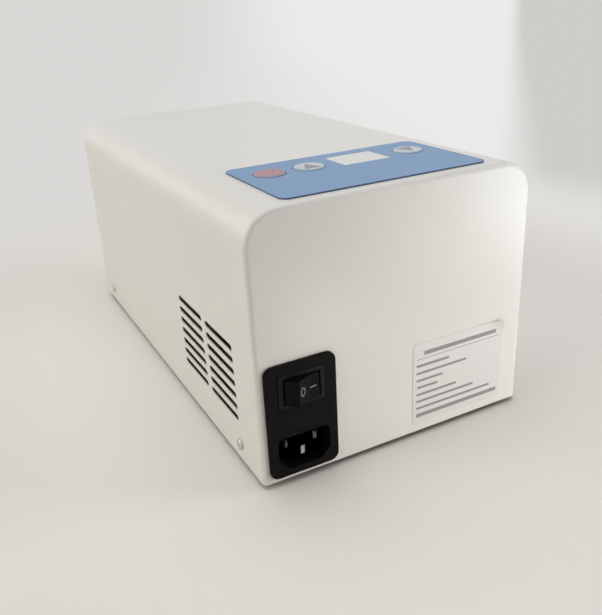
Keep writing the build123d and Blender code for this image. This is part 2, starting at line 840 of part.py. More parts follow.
with BuildPart() as inlet_body:
    with BuildSketch(upright(module_front)) as module_outline:
        block(inlet_x, inlet_z, module_width, module_height)
        fillet(module_outline.vertices(), module_corner)
    extrude(amount=module_flange)
    fillet(inlet_body.faces().sort_by(Axis.Y)[-1].edges(), module_edge_round)
    with BuildSketch(upright(case_rear)):
        block(inlet_x, inlet_z, module_body_width, module_body_height)
    extrude(amount=module_body_depth)
    with BuildSketch(upright(module_front)) as cavity:
        block(inlet_x, cavity_z, cavity_width, cavity_height)
        chamfer(cavity.vertices().group_by(Axis.Y)[0], cavity_chamfer)
        fillet(cavity.vertices().group_by(Axis.Y)[-1], cavity_round)
    extrude(amount=cavity_depth, mode=Mode.SUBTRACT)
    with BuildSketch(upright(module_front)):
        block(inlet_x, fuse_z, fuse_front_width, fuse_front_height)
    extrude(amount=fuse_front_thickness, mode=Mode.SUBTRACT)
    with BuildSketch(upright(module_front)):
        block(inlet_x, fuse_z, fuse_pocket_width, fuse_pocket_height)
    extrude(amount=fuse_pocket_depth, mode=Mode.SUBTRACT)
    # seat of the switch, with a narrow groove left round its bezel
    with BuildSketch(upright(module_front)):
        block(inlet_x, switch_z, bezel_width + 2 * bezel_gap, bezel_height + 2 * bezel_gap)
    extrude(amount=bezel_seat, mode=Mode.SUBTRACT)
    with BuildSketch(upright(module_front)):
        block(inlet_x, switch_z, switch_body_width, switch_body_height)
    extrude(amount=switch_body_depth, mode=Mode.SUBTRACT)
    with BuildSketch(upright(cavity_floor)):
        for x, z, _ in pin_places:
            block(x, z, pin_thickness, pin_width)
    extrude(amount=cavity_floor - module_rear, mode=Mode.SUBTRACT)
write_piece(inlet_body, "inlet_body")

with BuildPart() as inlet_pins:
    for x, z, recess in pin_places:
        tip = module_front - recess
        with BuildSketch(upright(tip)):
            block(x, z, pin_thickness, pin_width)
        extrude(amount=tip - module_rear + pin_tail)
    chamfer(inlet_pins.faces().filter_by(Axis.Y).sort_by(Axis.Y)[-3:].edges(), pin_bevel)
write_piece(inlet_pins, "inlet_pins")

with BuildPart() as switch_body:
    with BuildSketch(upright(bezel_front)) as bezel:
        block(inlet_x, switch_z, bezel_width, bezel_height)
        fillet(bezel.vertices(), bezel_corner)
    extrude(amount=bezel_proud + bezel_seat)
    fillet(switch_body.faces().sort_by(Axis.Y)[-1].edges(), bezel_edge_round)
    with BuildSketch(upright(module_front)):
        block(inlet_x, switch_z, switch_body_width, switch_body_height)
    extrude(amount=switch_body_depth)
    # round well for the rocker, about its axle
    with BuildSketch(Plane.XY.offset(switch_z - well_height / 2)):
        with Locations((inlet_x, pivot_y)):
            Circle(well_radius)
    extrude(amount=well_height, mode=Mode.SUBTRACT)
    with BuildSketch(Plane.XY.offset(switch_z - switch_body_height / 2)):
        with Locations((inlet_x, pivot_y)):
            Circle(axle_diameter / 2 + axle_gap)
    extrude(amount=switch_body_height, mode=Mode.SUBTRACT)
write_piece(switch_body, "switch_body")

with BuildPart() as rocker:
    # drawn level, on a plane tilted so that the +X end stands out of the bezel
    tilt = radians(rocker_tilt)
    rocker_plane = Plane(
        origin=(inlet_x, pivot_y, switch_z - rocker_height / 2),
        x_dir=(cos(tilt), sin(tilt), 0),
        z_dir=(0, 0, 1),
    )
    skirt_sweep = rocker_skirt_angle - rocker_ridge_angle
    scoop_depth = rocker_radius * cos(radians(rocker_ridge_angle)) - rocker_scoop
    with BuildSketch(rocker_plane):
        with BuildLine():
            right_skirt = CenterArc(
                (0, 0), rocker_radius, 90 - rocker_skirt_angle, skirt_sweep
            )
            left_skirt = CenterArc(
                (0, 0), rocker_radius, 90 + rocker_ridge_angle, skirt_sweep
            )
            ThreePointArc(right_skirt @ 1, (0, scoop_depth), left_skirt @ 0)
            Polyline(
                left_skirt @ 1,
                (-rocker_hub_width / 2, -rocker_hub_depth),
                (rocker_hub_width / 2, -rocker_hub_depth),
                right_skirt @ 0,
            )
        make_face()
    extrude(amount=rocker_height)
    axle_half = switch_body_height / 2 - axle_end_gap
    with BuildSketch(Plane.XY.offset(switch_z - axle_half)):
        with Locations((inlet_x, pivot_y)):
            Circle(axle_diameter / 2)
    extrude(amount=2 * axle_half)
write_piece(rocker, "rocker")

with BuildPart() as fuse_drawer:
    plate_back = module_front - fuse_front_thickness
    with BuildSketch(upright(module_front)) as fuse_plate:
        block(
            inlet_x,
            fuse_z,
            fuse_front_width - 2 * fuse_gap,
            fuse_front_height - 2 * fuse_gap,
        )
        fillet(fuse_plate.vertices(), fuse_plate_corner)
    extrude(amount=fuse_front_thickness)
    fuse_body_height = fuse_pocket_height - 2 * fuse_drawer_gap
    fuse_body_length = fuse_pocket_depth - fuse_front_thickness - fuse_drawer_end_gap
    with BuildSketch(upright(plate_back)):
        block(inlet_x, fuse_z, fuse_pocket_width - 2 * fuse_drawer_gap, fuse_body_height)
    extrude(amount=fuse_body_length)
    # trough for the fuse, open above
    fuse_seat_y = module_front - fuse_seat_from_front
    fuse_seat_half = fuse_length / 2 + fuse_seat_gap
    fuse_seat_radius = fuse_diameter / 2 + fuse_seat_gap
    with BuildSketch(sideways(inlet_x - fuse_seat_half)):
        with Locations((fuse_seat_y, fuse_z)):
            Circle(fuse_seat_radius)
        with Locations((fuse_seat_y, fuse_z + fuse_body_height / 2)):
            Rectangle(2 * fuse_seat_radius, fuse_body_height)
    extrude(amount=2 * fuse_seat_half, mode=Mode.SUBTRACT)
write_piece(fuse_drawer, "fuse_drawer")

with BuildPart() as fuse:
    fuse_axis_z = fuse_z - fuse_seat_gap
    with BuildSketch(sideways(inlet_x - fuse_length / 2)):
        with Locations((fuse_seat_y, fuse_axis_z)):
            Circle(fuse_diameter / 2 - fuse_cap_step)
    extrude(amount=fuse_length)
    for cap_start in (inlet_x - fuse_length / 2, inlet_x + fuse_length / 2 - fuse_cap_length):
        with BuildSketch(sideways(cap_start)):
            with Locations((fuse_seat_y, fuse_axis_z)):
                Circle(fuse_diameter / 2)
        extrude(amount=fuse_cap_length)
write_piece(fuse, "fuse")

# -------------------------------------------------------------------- label and keypad

with BuildPart() as rating_label:
    with BuildSketch(upright(case_rear + label_thickness)) as label_face:
        block(label_x, label_z, label_width, label_height)
        fillet(label_face.vertices(), label_corner)
    extrude(amount=label_thickness)
write_piece(rating_label, "rating_label")

with BuildPart() as keypad_overlay:
    with BuildSketch(Plane.XY.offset(case_top)) as film:
        with Locations((0, overlay_y)):
            Rectangle(overlay_width, overlay_length)
        fillet(film.vertices(), overlay_corner)
        with Locations(*key_places.values()):
            Circle(key_diameter / 2 + key_gap, mode=Mode.SUBTRACT)
        with Locations((window_x, window_y)):
            Rectangle(
                window_width + 2 * window_gap,
                window_length + 2 * window_gap,
                mode=Mode.SUBTRACT,
            )
    extrude(amount=overlay_thickness)
write_piece(keypad_overlay, "keypad_overlay")

with BuildPart() as display_window:
    with BuildSketch(Plane.XY.offset(case_top)):
        with Locations((window_x, window_y)):
            Rectangle(window_width, window_length)
    extrude(amount=overlay_thickness)
    fillet(display_window.faces().sort_by(Axis.Z)[-1].edges(), window_edge_round)
write_piece(display_window, "display_window")

key_switch_top = control_top + key_switch_height
collar_top = inner_top - key_collar_gap
stem_bottom = key_switch_top - key_stem_entry

for key_name, key_place in key_places.items():
    with BuildPart() as key:
        with BuildSketch(Plane.XY.offset(collar_top)):
            with Locations(key_place):
                Circle(key_diameter / 2)
        extrude(amount=key_top - collar_top)
        chamfer(key.edges().group_by(Axis.Z)[-1], key_bevel)
        # collar that keeps the key in its hole
        with BuildSketch(Plane.XY.offset(collar_top)):
            with Locations(key_place):
                Circle(key_collar / 2)
        extrude(amount=-key_collar_thickness)
        with BuildSketch(Plane.XY.offset(collar_top)):
            with Locations(key_place):
                Circle(key_stem / 2)
        extrude(amount=stem_bottom - collar_top)
    write_piece(key, key_name)

# ----------------------------------------------------------------------- control board

standoff_x = control_width / 2 - standoff_inset
standoff_y = control_length / 2 - standoff_inset

with BuildPart() as control_board:
    with BuildSketch(Plane.XY.offset(control_top)) as control_face:
        with Locations((0, overlay_y)):
            Rectangle(control_width, control_length)
        fillet(control_face.vertices(), board_corner)
        with Locations((0, overlay_y)):
            with GridLocations(2 * standoff_x, 2 * standoff_y, 2, 2):
                Circle(screw_hole / 2, mode=Mode.SUBTRACT)
    extrude(amount=-board_thickness)
write_piece(control_board, "control_board")

with BuildPart() as control_standoffs:
    with BuildSketch(Plane.XY.offset(control_top)):
        with Locations((0, overlay_y)):
            with GridLocations(2 * standoff_x, 2 * standoff_y, 2, 2):
                RegularPolygon(standoff_diameter / 2, 6)
                Circle(screw_shank / 2 + thread_gap, mode=Mode.SUBTRACT)
    extrude(amount=inner_top - control_top)
write_piece(control_standoffs, "control_standoffs")

with BuildPart() as display_module:
    with BuildSketch(Plane.XY.offset(control_top)):
        with Locations((window_x, window_y)):
            Rectangle(display_width, display_length)
    extrude(amount=display_height)
write_piece(display_module, "display_module")

with BuildPart() as key_switches:
    with BuildSketch(Plane.XY.offset(control_top)):
        with Locations(*key_places.values()):
            Rectangle(key_switch_size, key_switch_size)
    extrude(amount=key_switch_height)
    with BuildSketch(Plane.XY.offset(key_switch_top)):
        with Locations(*key_places.values()):
            Circle(key_stem / 2 + key_gap)
    extrude(amount=-key_switch_hole_depth, mode=Mode.SUBTRACT)
write_piece(key_switches, "key_switches")

# ----------------------------------------------------------------------- ballast board

ballast_corner_x = ballast_width / 2 - standoff_inset
ballast_corner_y = ballast_length / 2 - standoff_inset

with BuildPart() as ballast_board:
    with BuildSketch(Plane.XY.offset(ballast_bottom)) as ballast_face:
        with Locations((0, ballast_y)):
            Rectangle(ballast_width, ballast_length)
        fillet(ballast_face.vertices(), board_corner)
        with Locations((0, ballast_y)):
            with GridLocations(2 * ballast_corner_x, 2 * ballast_corner_y, 2, 2):
                Circle(screw_hole / 2, mode=Mode.SUBTRACT)
    extrude(amount=board_thickness)
write_piece(ballast_board, "ballast_board")

with BuildPart() as board_standoffs:
    with BuildSketch(Plane.XY.offset(floor_top)):
        with Locations((0, ballast_y)):
            with GridLocations(2 * ballast_corner_x, 2 * ballast_corner_y, 2, 2):
                RegularPolygon(standoff_diameter / 2, 6)
                Circle(screw_shank / 2 + thread_gap, mode=Mode.SUBTRACT)
    extrude(amount=ballast_lift)
write_piece(board_standoffs, "board_standoffs")

with BuildPart() as ballast_transformers:
    # bobbin with its winding, and the ferrite core round it
    for x in (transformer_x, transformer_x - transformer_spacing):
        with BuildSketch(Plane.XY.offset(ballast_top)) as bobbin:
            with Locations((x, ballast_y)):
                Rectangle(transformer_width - 2 * transformer_core, transformer_length)
        extrude(amount=transformer_height)
        with BuildSketch(Plane.XY.offset(ballast_top + transformer_flange)):
            with Locations((x, ballast_y)):
                Rectangle(transformer_width, transformer_length - 2 * transformer_core)
        extrude(amount=transformer_height - 2 * transformer_flange)
write_piece(ballast_transformers, "ballast_transformers")

with BuildPart() as ballast_capacitors:
    with BuildSketch(Plane.XY.offset(ballast_top)):
        with Locations((capacitor_x, ballast_y)):
            with GridLocations(capacitor_pitch, 1, 2, 1):
                Circle(capacitor_diameter / 2)
    extrude(amount=capacitor_height)
    chamfer(ballast_capacitors.edges().group_by(Axis.Z)[-1], capacitor_bevel)
write_piece(ballast_capacitors, "ballast_capacitors")

with BuildPart() as ballast_chokes:
    # wound rings lying flat on the board
    for y in (ballast_y - choke_pitch / 2, ballast_y + choke_pitch / 2):
        ring_plane = Plane(
            origin=(choke_x, y, ballast_top)
        )
        with BuildSketch(ring_plane):
            Circle(choke_diameter / 2)
            Circle(choke_diameter / 2 - choke_wire, mode=Mode.SUBTRACT)
        extrude(amount=choke_wire)
    chamfer(ballast_chokes.edges().filter_by(GeomType.CIRCLE), choke_bevel)
write_piece(ballast_chokes, "ballast_chokes")

with BuildPart() as wire_headers:
    # mains and lamp plugs on the ballast board, one plug under the control board
    with BuildSketch(Plane.XY.offset(ballast_top)):
        with Locations((capacitor_x, ballast_rear - header_shift)):
            Rectangle(header_width, header_length)
        with Locations((capacitor_x, ballast_front + header_shift)):
            Rectangle(header_width, header_length)
    extrude(amount=header_height)
    with BuildSketch(Plane.XY.offset(control_top - board_thickness)):
        with Locations((0, overlay_y + control_length / 2 - header_shift)):
            Rectangle(header_width, header_length)
    extrude(amount=-header_height)
write_piece(wire_headers, "wire_headers")

with BuildPart() as earth_stud:
    earth_x = inlet_x - module_body_width / 2 - earth_module_gap
    earth_place = (earth_x, case_rear - earth_rear_inset)
    with BuildSketch(Plane.XY.offset(floor_top)):
        with Locations(earth_place):
            Circle(earth_diameter / 2)
    extrude(amount=earth_length)
    with BuildSketch(Plane.XY.offset(floor_top)):
        with Locations(earth_place):
            Circle(earth_washer / 2)
            Circle(earth_diameter / 2 + thread_gap, mode=Mode.SUBTRACT)
    extrude(amount=earth_washer_thickness)
    with BuildSketch(Plane.XY.offset(floor_top + earth_washer_thickness)):
        with Locations(earth_place):
            RegularPolygon(earth_nut / 2, 6)
            Circle(earth_diameter / 2 + thread_gap, mode=Mode.SUBTRACT)
    extrude(amount=earth_nut_height)
write_piece(earth_stud, "earth_stud")

with BuildPart() as inner_screws:
    # on the ballast board, under the control board and on the rear of the bulkhead
    for sx in (-1, 1):
        for sy in (-1, 1):
            on_ballast = Plane(
                origin=(sx * ballast_corner_x, ballast_y + sy * ballast_corner_y, ballast_top)
            )
            pan_screw(on_ballast, screw_shank, inner_screw_length, inner_head, inner_head_height)
            under_control = Plane(
                origin=(
                    sx * standoff_x,
                    overlay_y + sy * standoff_y,
                    control_top - board_thickness,
                ),
                z_dir=(0, 0, -1),
            )
            pan_screw(under_control, screw_shank, inner_screw_length, inner_head, inner_head_height)
    for x in lamp_places[1:3]:
        on_bulkhead = Plane(
            origin=(x, bulkhead_rear, reflector_crown_height + reflector_tab_height / 2),
            z_dir=(0, 1, 0),
        )
        pan_screw(on_bulkhead, screw_shank, inner_screw_length, inner_head, inner_head_height)
write_piece(inner_screws, "inner_screws")
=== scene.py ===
# %% [markdown]
# # A bench-top light curing unit, dressed in Blender
#
# The solids of this unit come ready-made from the CAD model. This lesson gives each of them the finish
# of the real material, adds the small surfaces that are too fine for the solids, and lights the unit
# as a studio photographer would. Every cell does one thing and prints what it made, so it can be read
# from top to bottom like a notebook.

import json
import math

import bmesh
import bpy
import numpy as np
from mathutils import Matrix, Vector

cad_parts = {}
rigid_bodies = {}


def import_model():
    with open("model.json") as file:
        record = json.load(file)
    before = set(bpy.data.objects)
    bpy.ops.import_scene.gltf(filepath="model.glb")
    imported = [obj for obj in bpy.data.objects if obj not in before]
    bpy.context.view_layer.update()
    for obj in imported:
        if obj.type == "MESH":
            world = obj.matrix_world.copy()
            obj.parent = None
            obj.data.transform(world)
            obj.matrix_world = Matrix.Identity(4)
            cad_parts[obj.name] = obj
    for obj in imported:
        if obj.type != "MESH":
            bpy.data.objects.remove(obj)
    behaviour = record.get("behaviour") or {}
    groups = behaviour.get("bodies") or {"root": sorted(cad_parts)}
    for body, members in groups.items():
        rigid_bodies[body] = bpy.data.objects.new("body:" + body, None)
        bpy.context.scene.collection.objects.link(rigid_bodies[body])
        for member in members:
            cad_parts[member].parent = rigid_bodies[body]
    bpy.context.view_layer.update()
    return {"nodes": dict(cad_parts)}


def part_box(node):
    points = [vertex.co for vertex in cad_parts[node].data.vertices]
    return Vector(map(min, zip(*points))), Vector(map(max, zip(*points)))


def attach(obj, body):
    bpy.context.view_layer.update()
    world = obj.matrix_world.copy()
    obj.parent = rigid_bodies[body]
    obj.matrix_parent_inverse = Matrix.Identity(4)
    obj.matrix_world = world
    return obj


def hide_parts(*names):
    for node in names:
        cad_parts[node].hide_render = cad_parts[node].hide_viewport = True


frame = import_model()
nodes = frame["nodes"]
scene = bpy.context.scene
MM = 0.001

# %% [markdown]
# ## The camera
#
# The photograph was taken from behind and above, a little to the vent side. The camera's place and its
# three directions were worked out from the edges of the case and the corners of the mains module, so
# they are given here as numbers. A matrix whose columns are right, up, backwards and place puts a
# Blender camera there in one step; aiming with angles would need the small roll as well.

# %% The camera
FOCAL_PIXELS = 716.84
PICTURE_HEIGHT = 615
camera_place = np.array([160.443, 357.192, 190.976]) * MM
camera_forward = np.array([-0.40953, -0.81836, -0.40321])
camera_right = np.array([-0.88271, 0.46710, -0.05148])
camera_down = np.array([0.23047, 0.33483, -0.91366])

camera_data = bpy.data.cameras.new("photo_camera")
camera_data.sensor_width = 36.0
camera_data.lens = FOCAL_PIXELS / PICTURE_HEIGHT * camera_data.sensor_width
camera_data.clip_start = 0.01
camera_data.clip_end = 50.0
camera = bpy.data.objects.new("photo_camera", camera_data)
scene.collection.objects.link(camera)
pose = np.eye(4)
pose[:3, 0] = camera_right
pose[:3, 1] = -camera_down
pose[:3, 2] = -camera_forward
pose[:3, 3] = camera_place
camera.matrix_world = Matrix(pose.tolist())
scene.camera = camera
scene.view_settings.view_transform = "Standard"
print("lens in mm:", round(camera_data.lens, 2))

# %% [markdown]
# ## Surfaces from numbers
#
# Every new piece is a grid of points: rows along one parameter, columns along the other. One helper
# turns such a grid into a mesh by joining neighbours with four-sided faces, and another one merges
# the points that fall together at a pole or a seam. Writing shapes this way keeps their sizes readable.


# %% Mesh helpers
def grid_faces(rows, columns, wrap_rows=False, wrap_columns=False, first=0):
    """Four-sided faces between neighbouring points of a grid; a wrapped direction closes on itself."""
    i = np.arange(rows if wrap_rows else rows - 1)[:, None]
    j = np.arange(columns if wrap_columns else columns - 1)[None, :]
    next_i = (i + 1) % rows
    next_j = (j + 1) % columns
    faces = np.stack(
        [
            i * columns + j,
            i * columns + next_j,
            next_i * columns + next_j,
            next_i * columns + j,
        ],
        axis=-1,
    )
    return faces.reshape(-1, 4) + first


def merge_and_face_outwards(mesh, reach=2e-7):
    """Merges points that coincide, drops faces without area and turns all faces outwards."""
    work = bmesh.new()
    work.from_mesh(mesh)
    bmesh.ops.remove_doubles(work, verts=work.verts, dist=reach)
    bmesh.ops.dissolve_degenerate(work, edges=work.edges, dist=1e-8)
    bmesh.ops.recalc_face_normals(work, faces=work.faces)
    work.to_mesh(mesh)
    work.free()


def smooth_by_angle(mesh, degrees):
    """Shades a mesh smooth, and keeps edges sharper than the angle crisp."""
    mesh.polygons.foreach_set("use_smooth", np.ones(len(mesh.polygons), bool))
    mesh.set_sharp_from_angle(angle=math.radians(degrees))
    mesh.update()


def new_piece(name, grids, material, body, degrees=35.0):
    """One object from several grids of points, given as (points, wrap_rows, wrap_columns)."""
    points = []
    faces = []
    count = 0
    for grid, wrap_rows, wrap_columns in grids:
        rows, columns = grid.shape[:2]
        points.append(grid.reshape(-1, 3))
        faces.append(grid_faces(rows, columns, wrap_rows, wrap_columns, count))
        count += rows * columns
    mesh = bpy.data.meshes.new(name)
    mesh.from_pydata(np.concatenate(points).tolist(), [], np.concatenate(faces).tolist())
    merge_and_face_outwards(mesh)
    smooth_by_angle(mesh, degrees)
    mesh.materials.append(material)
    piece = bpy.data.objects.new(name, mesh)
    scene.collection.objects.link(piece)
    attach(piece, body)
    print(name, "faces:", len(mesh.polygons))
    return piece


def basis_about(outward):
    """Two directions across an axis, and the axis itself, all of length 1."""
    axis = np.array(outward, float)
    axis /= np.linalg.norm(axis)
    helper = np.array([0.0, 0.0, 1.0]) if abs(axis[2]) < 0.9 else np.array([0.0, 1.0, 0.0])
    side = np.cross(helper, axis)
    side /= np.linalg.norm(side)
    return np.stack([side, np.cross(axis, side), axis])


def turned(profile, centre, outward, around=48):
    """A profile of (radius, height) pairs carried round an axis: the point at angle t is
    centre + height * axis + radius * (cos t * side + sin t * other side)."""
    side, other, axis = basis_about(outward)
    angle = np.linspace(0, 2 * np.pi, around, endpoint=False)
    ring = np.cos(angle)[:, None] * side + np.sin(angle)[:, None] * other
    profile = np.array(profile, float)
    points = (
        np.array(centre, float)
        + profile[:, 1][:, None, None] * axis
        + profile[:, 0][:, None, None] * ring[None, :, :]
    )
    return points


print("helpers ready")

# %% [markdown]
# ## Effects shared by several finishes
#
# Real surfaces are never even: paint has orange peel, mouldings have grain, rolled metal has fine
# lines, and hands leave faint marks. Each effect is built once as a node group with named inputs and
# is then placed in the materials with its own values. A group only hands out masks and heights; the
# shader stays in the material, so every constant colour and number sits on the shader's own socket.


# %% Node group helpers
def group_tree(name, inputs, outputs):
    """An empty shader group with named sockets; inputs are (name, kind, default)."""
    tree = bpy.data.node_groups.new(name, "ShaderNodeTree")
    for label, kind, default in inputs:
        socket = tree.interface.new_socket(label, in_out="INPUT", socket_type=kind)
        if default is not None:
            socket.default_value = default
    for label, kind in outputs:
        tree.interface.new_socket(label, in_out="OUTPUT", socket_type=kind)
    source = tree.nodes.new("NodeGroupInput")
    sink = tree.nodes.new("NodeGroupOutput")
    return tree, source, sink


def put(tree, kind, values=None, **settings):
    """A node with its settings, and with the given values on its input sockets."""
    node = tree.nodes.new(kind)
    for name, value in settings.items():
        setattr(node, name, value)
    for name, value in (values or {}).items():
        if hasattr(value, "links"):
            tree.links.new(value, node.inputs[name])
        else:
            node.inputs[name].default_value = value
    return node


def noise(tree, place, scale, **more):
    """The value of a noise texture; further inputs are given by name."""
    values = {"Vector": place, "Scale": scale}
    values.update({name.capitalize(): value for name, value in more.items()})
    return put(tree, "ShaderNodeTexNoise", values).outputs["Fac"]


def math_node(tree, operation, first, second=0.0, third=None, clamp=False):
    """Output of one Math node; each argument is a number or a socket."""
    values = {0: first, 1: second}
    if third is not None:
        values[2] = third
    return put(tree, "ShaderNodeMath", values, operation=operation, use_clamp=clamp).outputs[0]


FLOAT = "NodeSocketFloat"
VECTOR = "NodeSocketVector"


# %% [markdown]
# ### Grain and clouds
#
# Fine grain gives the sparkle and the orange peel; a second, far larger noise gives the slow drift of
# tone that keeps a large panel from looking like a flat fill. Sizes are given in millimetres, because
# that is how one measures them on the real thing.


# %% Group: grain and clouds
grain_group, source, sink = group_tree(
    "Grain and clouds",
    [("Place", VECTOR, None), ("Grain mm", FLOAT, 1.0), ("Cloud mm", FLOAT, 60.0)],
    [("Height", FLOAT), ("Cloud", FLOAT)],
)
grain_scale = math_node(grain_group, "DIVIDE", 1000.0, source.outputs["Grain mm"])
cloud_scale = math_node(grain_group, "DIVIDE", 1000.0, source.outputs["Cloud mm"])
fine = noise(grain_group, source.outputs["Place"], grain_scale, detail=2.0, roughness=0.55)
slow = noise(grain_group, source.outputs["Place"], cloud_scale, detail=3.0, roughness=0.5)
grain_group.links.new(fine, sink.inputs["Height"])
grain_group.links.new(slow, sink.inputs["Cloud"])
print("group:", grain_group.name)

# %% [markdown]
# ### Handling marks
#
# Where hands and cloths pass, gloss changes a little. The marks are long thin streaks: a noise that is
# squeezed along one direction, of which only the peaks are kept.

# %% Group: handling marks
marks_group, source, sink = group_tree(
    "Handling marks",
    [("Place", VECTOR, None), ("Streak mm", FLOAT, 12.0), ("Amount", FLOAT, 0.5)],
    [("Mask", FLOAT)],
)
streak_scale = math_node(marks_group, "DIVIDE", 1000.0, source.outputs["Streak mm"])
turned_place = put(
    marks_group,
    "ShaderNodeMapping",
    {"Vector": source.outputs["Place"], "Rotation": (0.3, 0.5, 0.7), "Scale": (1.0, 7.0, 3.0)},
)
streaks = noise(marks_group, turned_place.outputs[0], streak_scale, detail=4.0, distortion=0.4)
peaks = put(
    marks_group, "ShaderNodeMapRange", {"Value": streaks, "From Min": 0.52, "From Max": 0.78}
)
amount = math_node(marks_group, "MULTIPLY", peaks.outputs[0], source.outputs["Amount"], clamp=True)
marks_group.links.new(amount, sink.inputs["Mask"])
print("group:", marks_group.name)

# %% [markdown]
# ### Rolled metal
#
# Sheet metal leaves the rolling mill with fine lines along the sheet. A noise squeezed hard across one
# axis gives them; the same group serves the drawer, the reflector and the steel parts.

# %% Group: rolled lines
rolled_group, source, sink = group_tree(
    "Rolled lines",
    [("Place", VECTOR, None), ("Squeeze", VECTOR, (1.0, 0.02, 1.0)), ("Line mm", FLOAT, 0.4)],
    [("Height", FLOAT)],
)
line_scale = math_node(rolled_group, "DIVIDE", 1000.0, source.outputs["Line mm"])
squeezed = put(
    rolled_group,
    "ShaderNodeVectorMath",
    {0: source.outputs["Place"], 1: source.outputs["Squeeze"]},
    operation="MULTIPLY",
)
lines = noise(rolled_group, squeezed.outputs[0], line_scale, detail=3.0, roughness=0.6)
rolled_group.links.new(lines, sink.inputs["Height"])
print("group:", rolled_group.name)

# %% [markdown]
# ### Printed bars, rings and arrows
#
# Print on a film has hard edges, so it is a yes-or-no question asked at each point: is it inside the
# bar, on the ring, in the triangle? The distance to the outline is worked out with plain arithmetic,
# and a narrow ramp over five hundredths of a millimetre turns it into a mask.

PRINT_EDGE = 0.00005


# %% Groups: printed marks
def edge_mask(tree, distance):
    """1 inside the outline (distance below 0) and 0 outside, over a narrow ramp."""
    ramp = put(
        tree,
        "ShaderNodeMapRange",
        {"Value": distance, "From Min": PRINT_EDGE, "From Max": -PRINT_EDGE},
    )
    return ramp.outputs[0]


bar_group, source, sink = group_tree(
    "Printed bar",
    [
        ("Across", FLOAT, 0.0),
        ("Up", FLOAT, 0.0),
        ("Half width", FLOAT, 0.01),
        ("Half height", FLOAT, 0.001),
        ("Round", FLOAT, 0.0001),
    ],
    [("Mask", FLOAT)],
)
gaps = []
for along, half in (("Across", "Half width"), ("Up", "Half height")):
    size = math_node(bar_group, "ABSOLUTE", source.outputs[along])
    inner = math_node(bar_group, "SUBTRACT", source.outputs[half], source.outputs["Round"])
    gaps.append(math_node(bar_group, "SUBTRACT", size, inner))
outside = [math_node(bar_group, "MAXIMUM", gap, 0.0) for gap in gaps]
squares = [math_node(bar_group, "MULTIPLY", side, side) for side in outside]
corner = math_node(bar_group, "SQRT", math_node(bar_group, "ADD", squares[0], squares[1]))
bar_distance = math_node(bar_group, "SUBTRACT", corner, source.outputs["Round"])
bar_group.links.new(edge_mask(bar_group, bar_distance), sink.inputs["Mask"])

ring_group, source, sink = group_tree(
    "Printed ring",
    [("Across", FLOAT, 0.0), ("Up", FLOAT, 0.0), ("Radius", FLOAT, 0.005), ("Line", FLOAT, 0.0005)],
    [("Mask", FLOAT)],
)
square_a = math_node(ring_group, "MULTIPLY", source.outputs["Across"], source.outputs["Across"])
square_u = math_node(ring_group, "MULTIPLY", source.outputs["Up"], source.outputs["Up"])
from_centre = math_node(ring_group, "SQRT", math_node(ring_group, "ADD", square_a, square_u))
off_line = math_node(
    ring_group,
    "ABSOLUTE",
    math_node(ring_group, "SUBTRACT", from_centre, source.outputs["Radius"]),
)
half_line = math_node(ring_group, "MULTIPLY", source.outputs["Line"], 0.5)
ring_distance = math_node(ring_group, "SUBTRACT", off_line, half_line)
ring_group.links.new(edge_mask(ring_group, ring_distance), sink.inputs["Mask"])

arrow_group, source, sink = group_tree(
    "Printed arrow",
    [("Across", FLOAT, 0.0), ("Up", FLOAT, 0.0), ("Half base", FLOAT, 0.004), ("Tall", FLOAT, 0.009)],
    [("Mask", FLOAT)],
)
sideways = math_node(arrow_group, "ABSOLUTE", source.outputs["Across"])
share_up = math_node(arrow_group, "DIVIDE", source.outputs["Up"], source.outputs["Tall"])
room = math_node(
    arrow_group,
    "MULTIPLY",
    math_node(arrow_group, "SUBTRACT", 0.5, share_up),
    source.outputs["Half base"],
)
past_flank = math_node(arrow_group, "SUBTRACT", sideways, room)
half_tall = math_node(arrow_group, "MULTIPLY", source.outputs["Tall"], -0.5)
below_base = math_node(arrow_group, "SUBTRACT", half_tall, source.outputs["Up"])
arrow_distance = math_node(arrow_group, "MAXIMUM", past_flank, below_base)
arrow_group.links.new(edge_mask(arrow_group, arrow_distance), sink.inputs["Mask"])
print("groups:", bar_group.name, ring_group.name, arrow_group.name)

# %% [markdown]
# ## Starting a finish
#
# One helper makes a material with a Principled shader and writes the constants on its sockets. Others
# place a group, tint the base colour by a mask, vary the roughness and add relief. A finish is then a
# few lines that say what the surface is, instead of a tangle of nodes.


# %% Material helpers
def start_finish(name, colour, roughness, metallic=0.0, level=0.5, coat=0.0, coat_roughness=0.1):
    """A material whose even values sit on the shader's own sockets."""
    material = bpy.data.materials.new(name)
    material.use_nodes = True
    tree = material.node_tree
    shader = tree.nodes["Principled BSDF"]
    shader.inputs["Base Color"].default_value = (*colour, 1.0)
    shader.inputs["Roughness"].default_value = roughness
    shader.inputs["Metallic"].default_value = metallic
    shader.inputs["Specular IOR Level"].default_value = level
    shader.inputs["Coat Weight"].default_value = coat
    shader.inputs["Coat Roughness"].default_value = coat_roughness
    place = tree.nodes.new("ShaderNodeTexCoord").outputs["Object"]
    return material, tree, shader, place


def use_group(tree, group, values):
    """Places a group in a material with its own values."""
    return put(tree, "ShaderNodeGroup", values, node_tree=group)


def blend(tree, mask, below, colour):
    """A colour laid over another, or over a socket, where the mask is 1."""
    mix = put(tree, "ShaderNodeMix", data_type="RGBA")
    if hasattr(below, "links"):
        tree.links.new(below, mix.inputs["A"])
    else:
        mix.inputs["A"].default_value = (*below, 1.0)
    mix.inputs["B"].default_value = (*colour, 1.0)
    tree.links.new(mask, mix.inputs["Factor"])
    return mix.outputs["Result"]


def tint(tree, shader, mask, colour, below=None):
    """Blends a second colour over the base colour and puts the result on the shader."""
    if below is None:
        below = shader.inputs["Base Color"].default_value[:3]
    result = blend(tree, mask, below, colour)
    tree.links.new(result, shader.inputs["Base Color"])
    return result


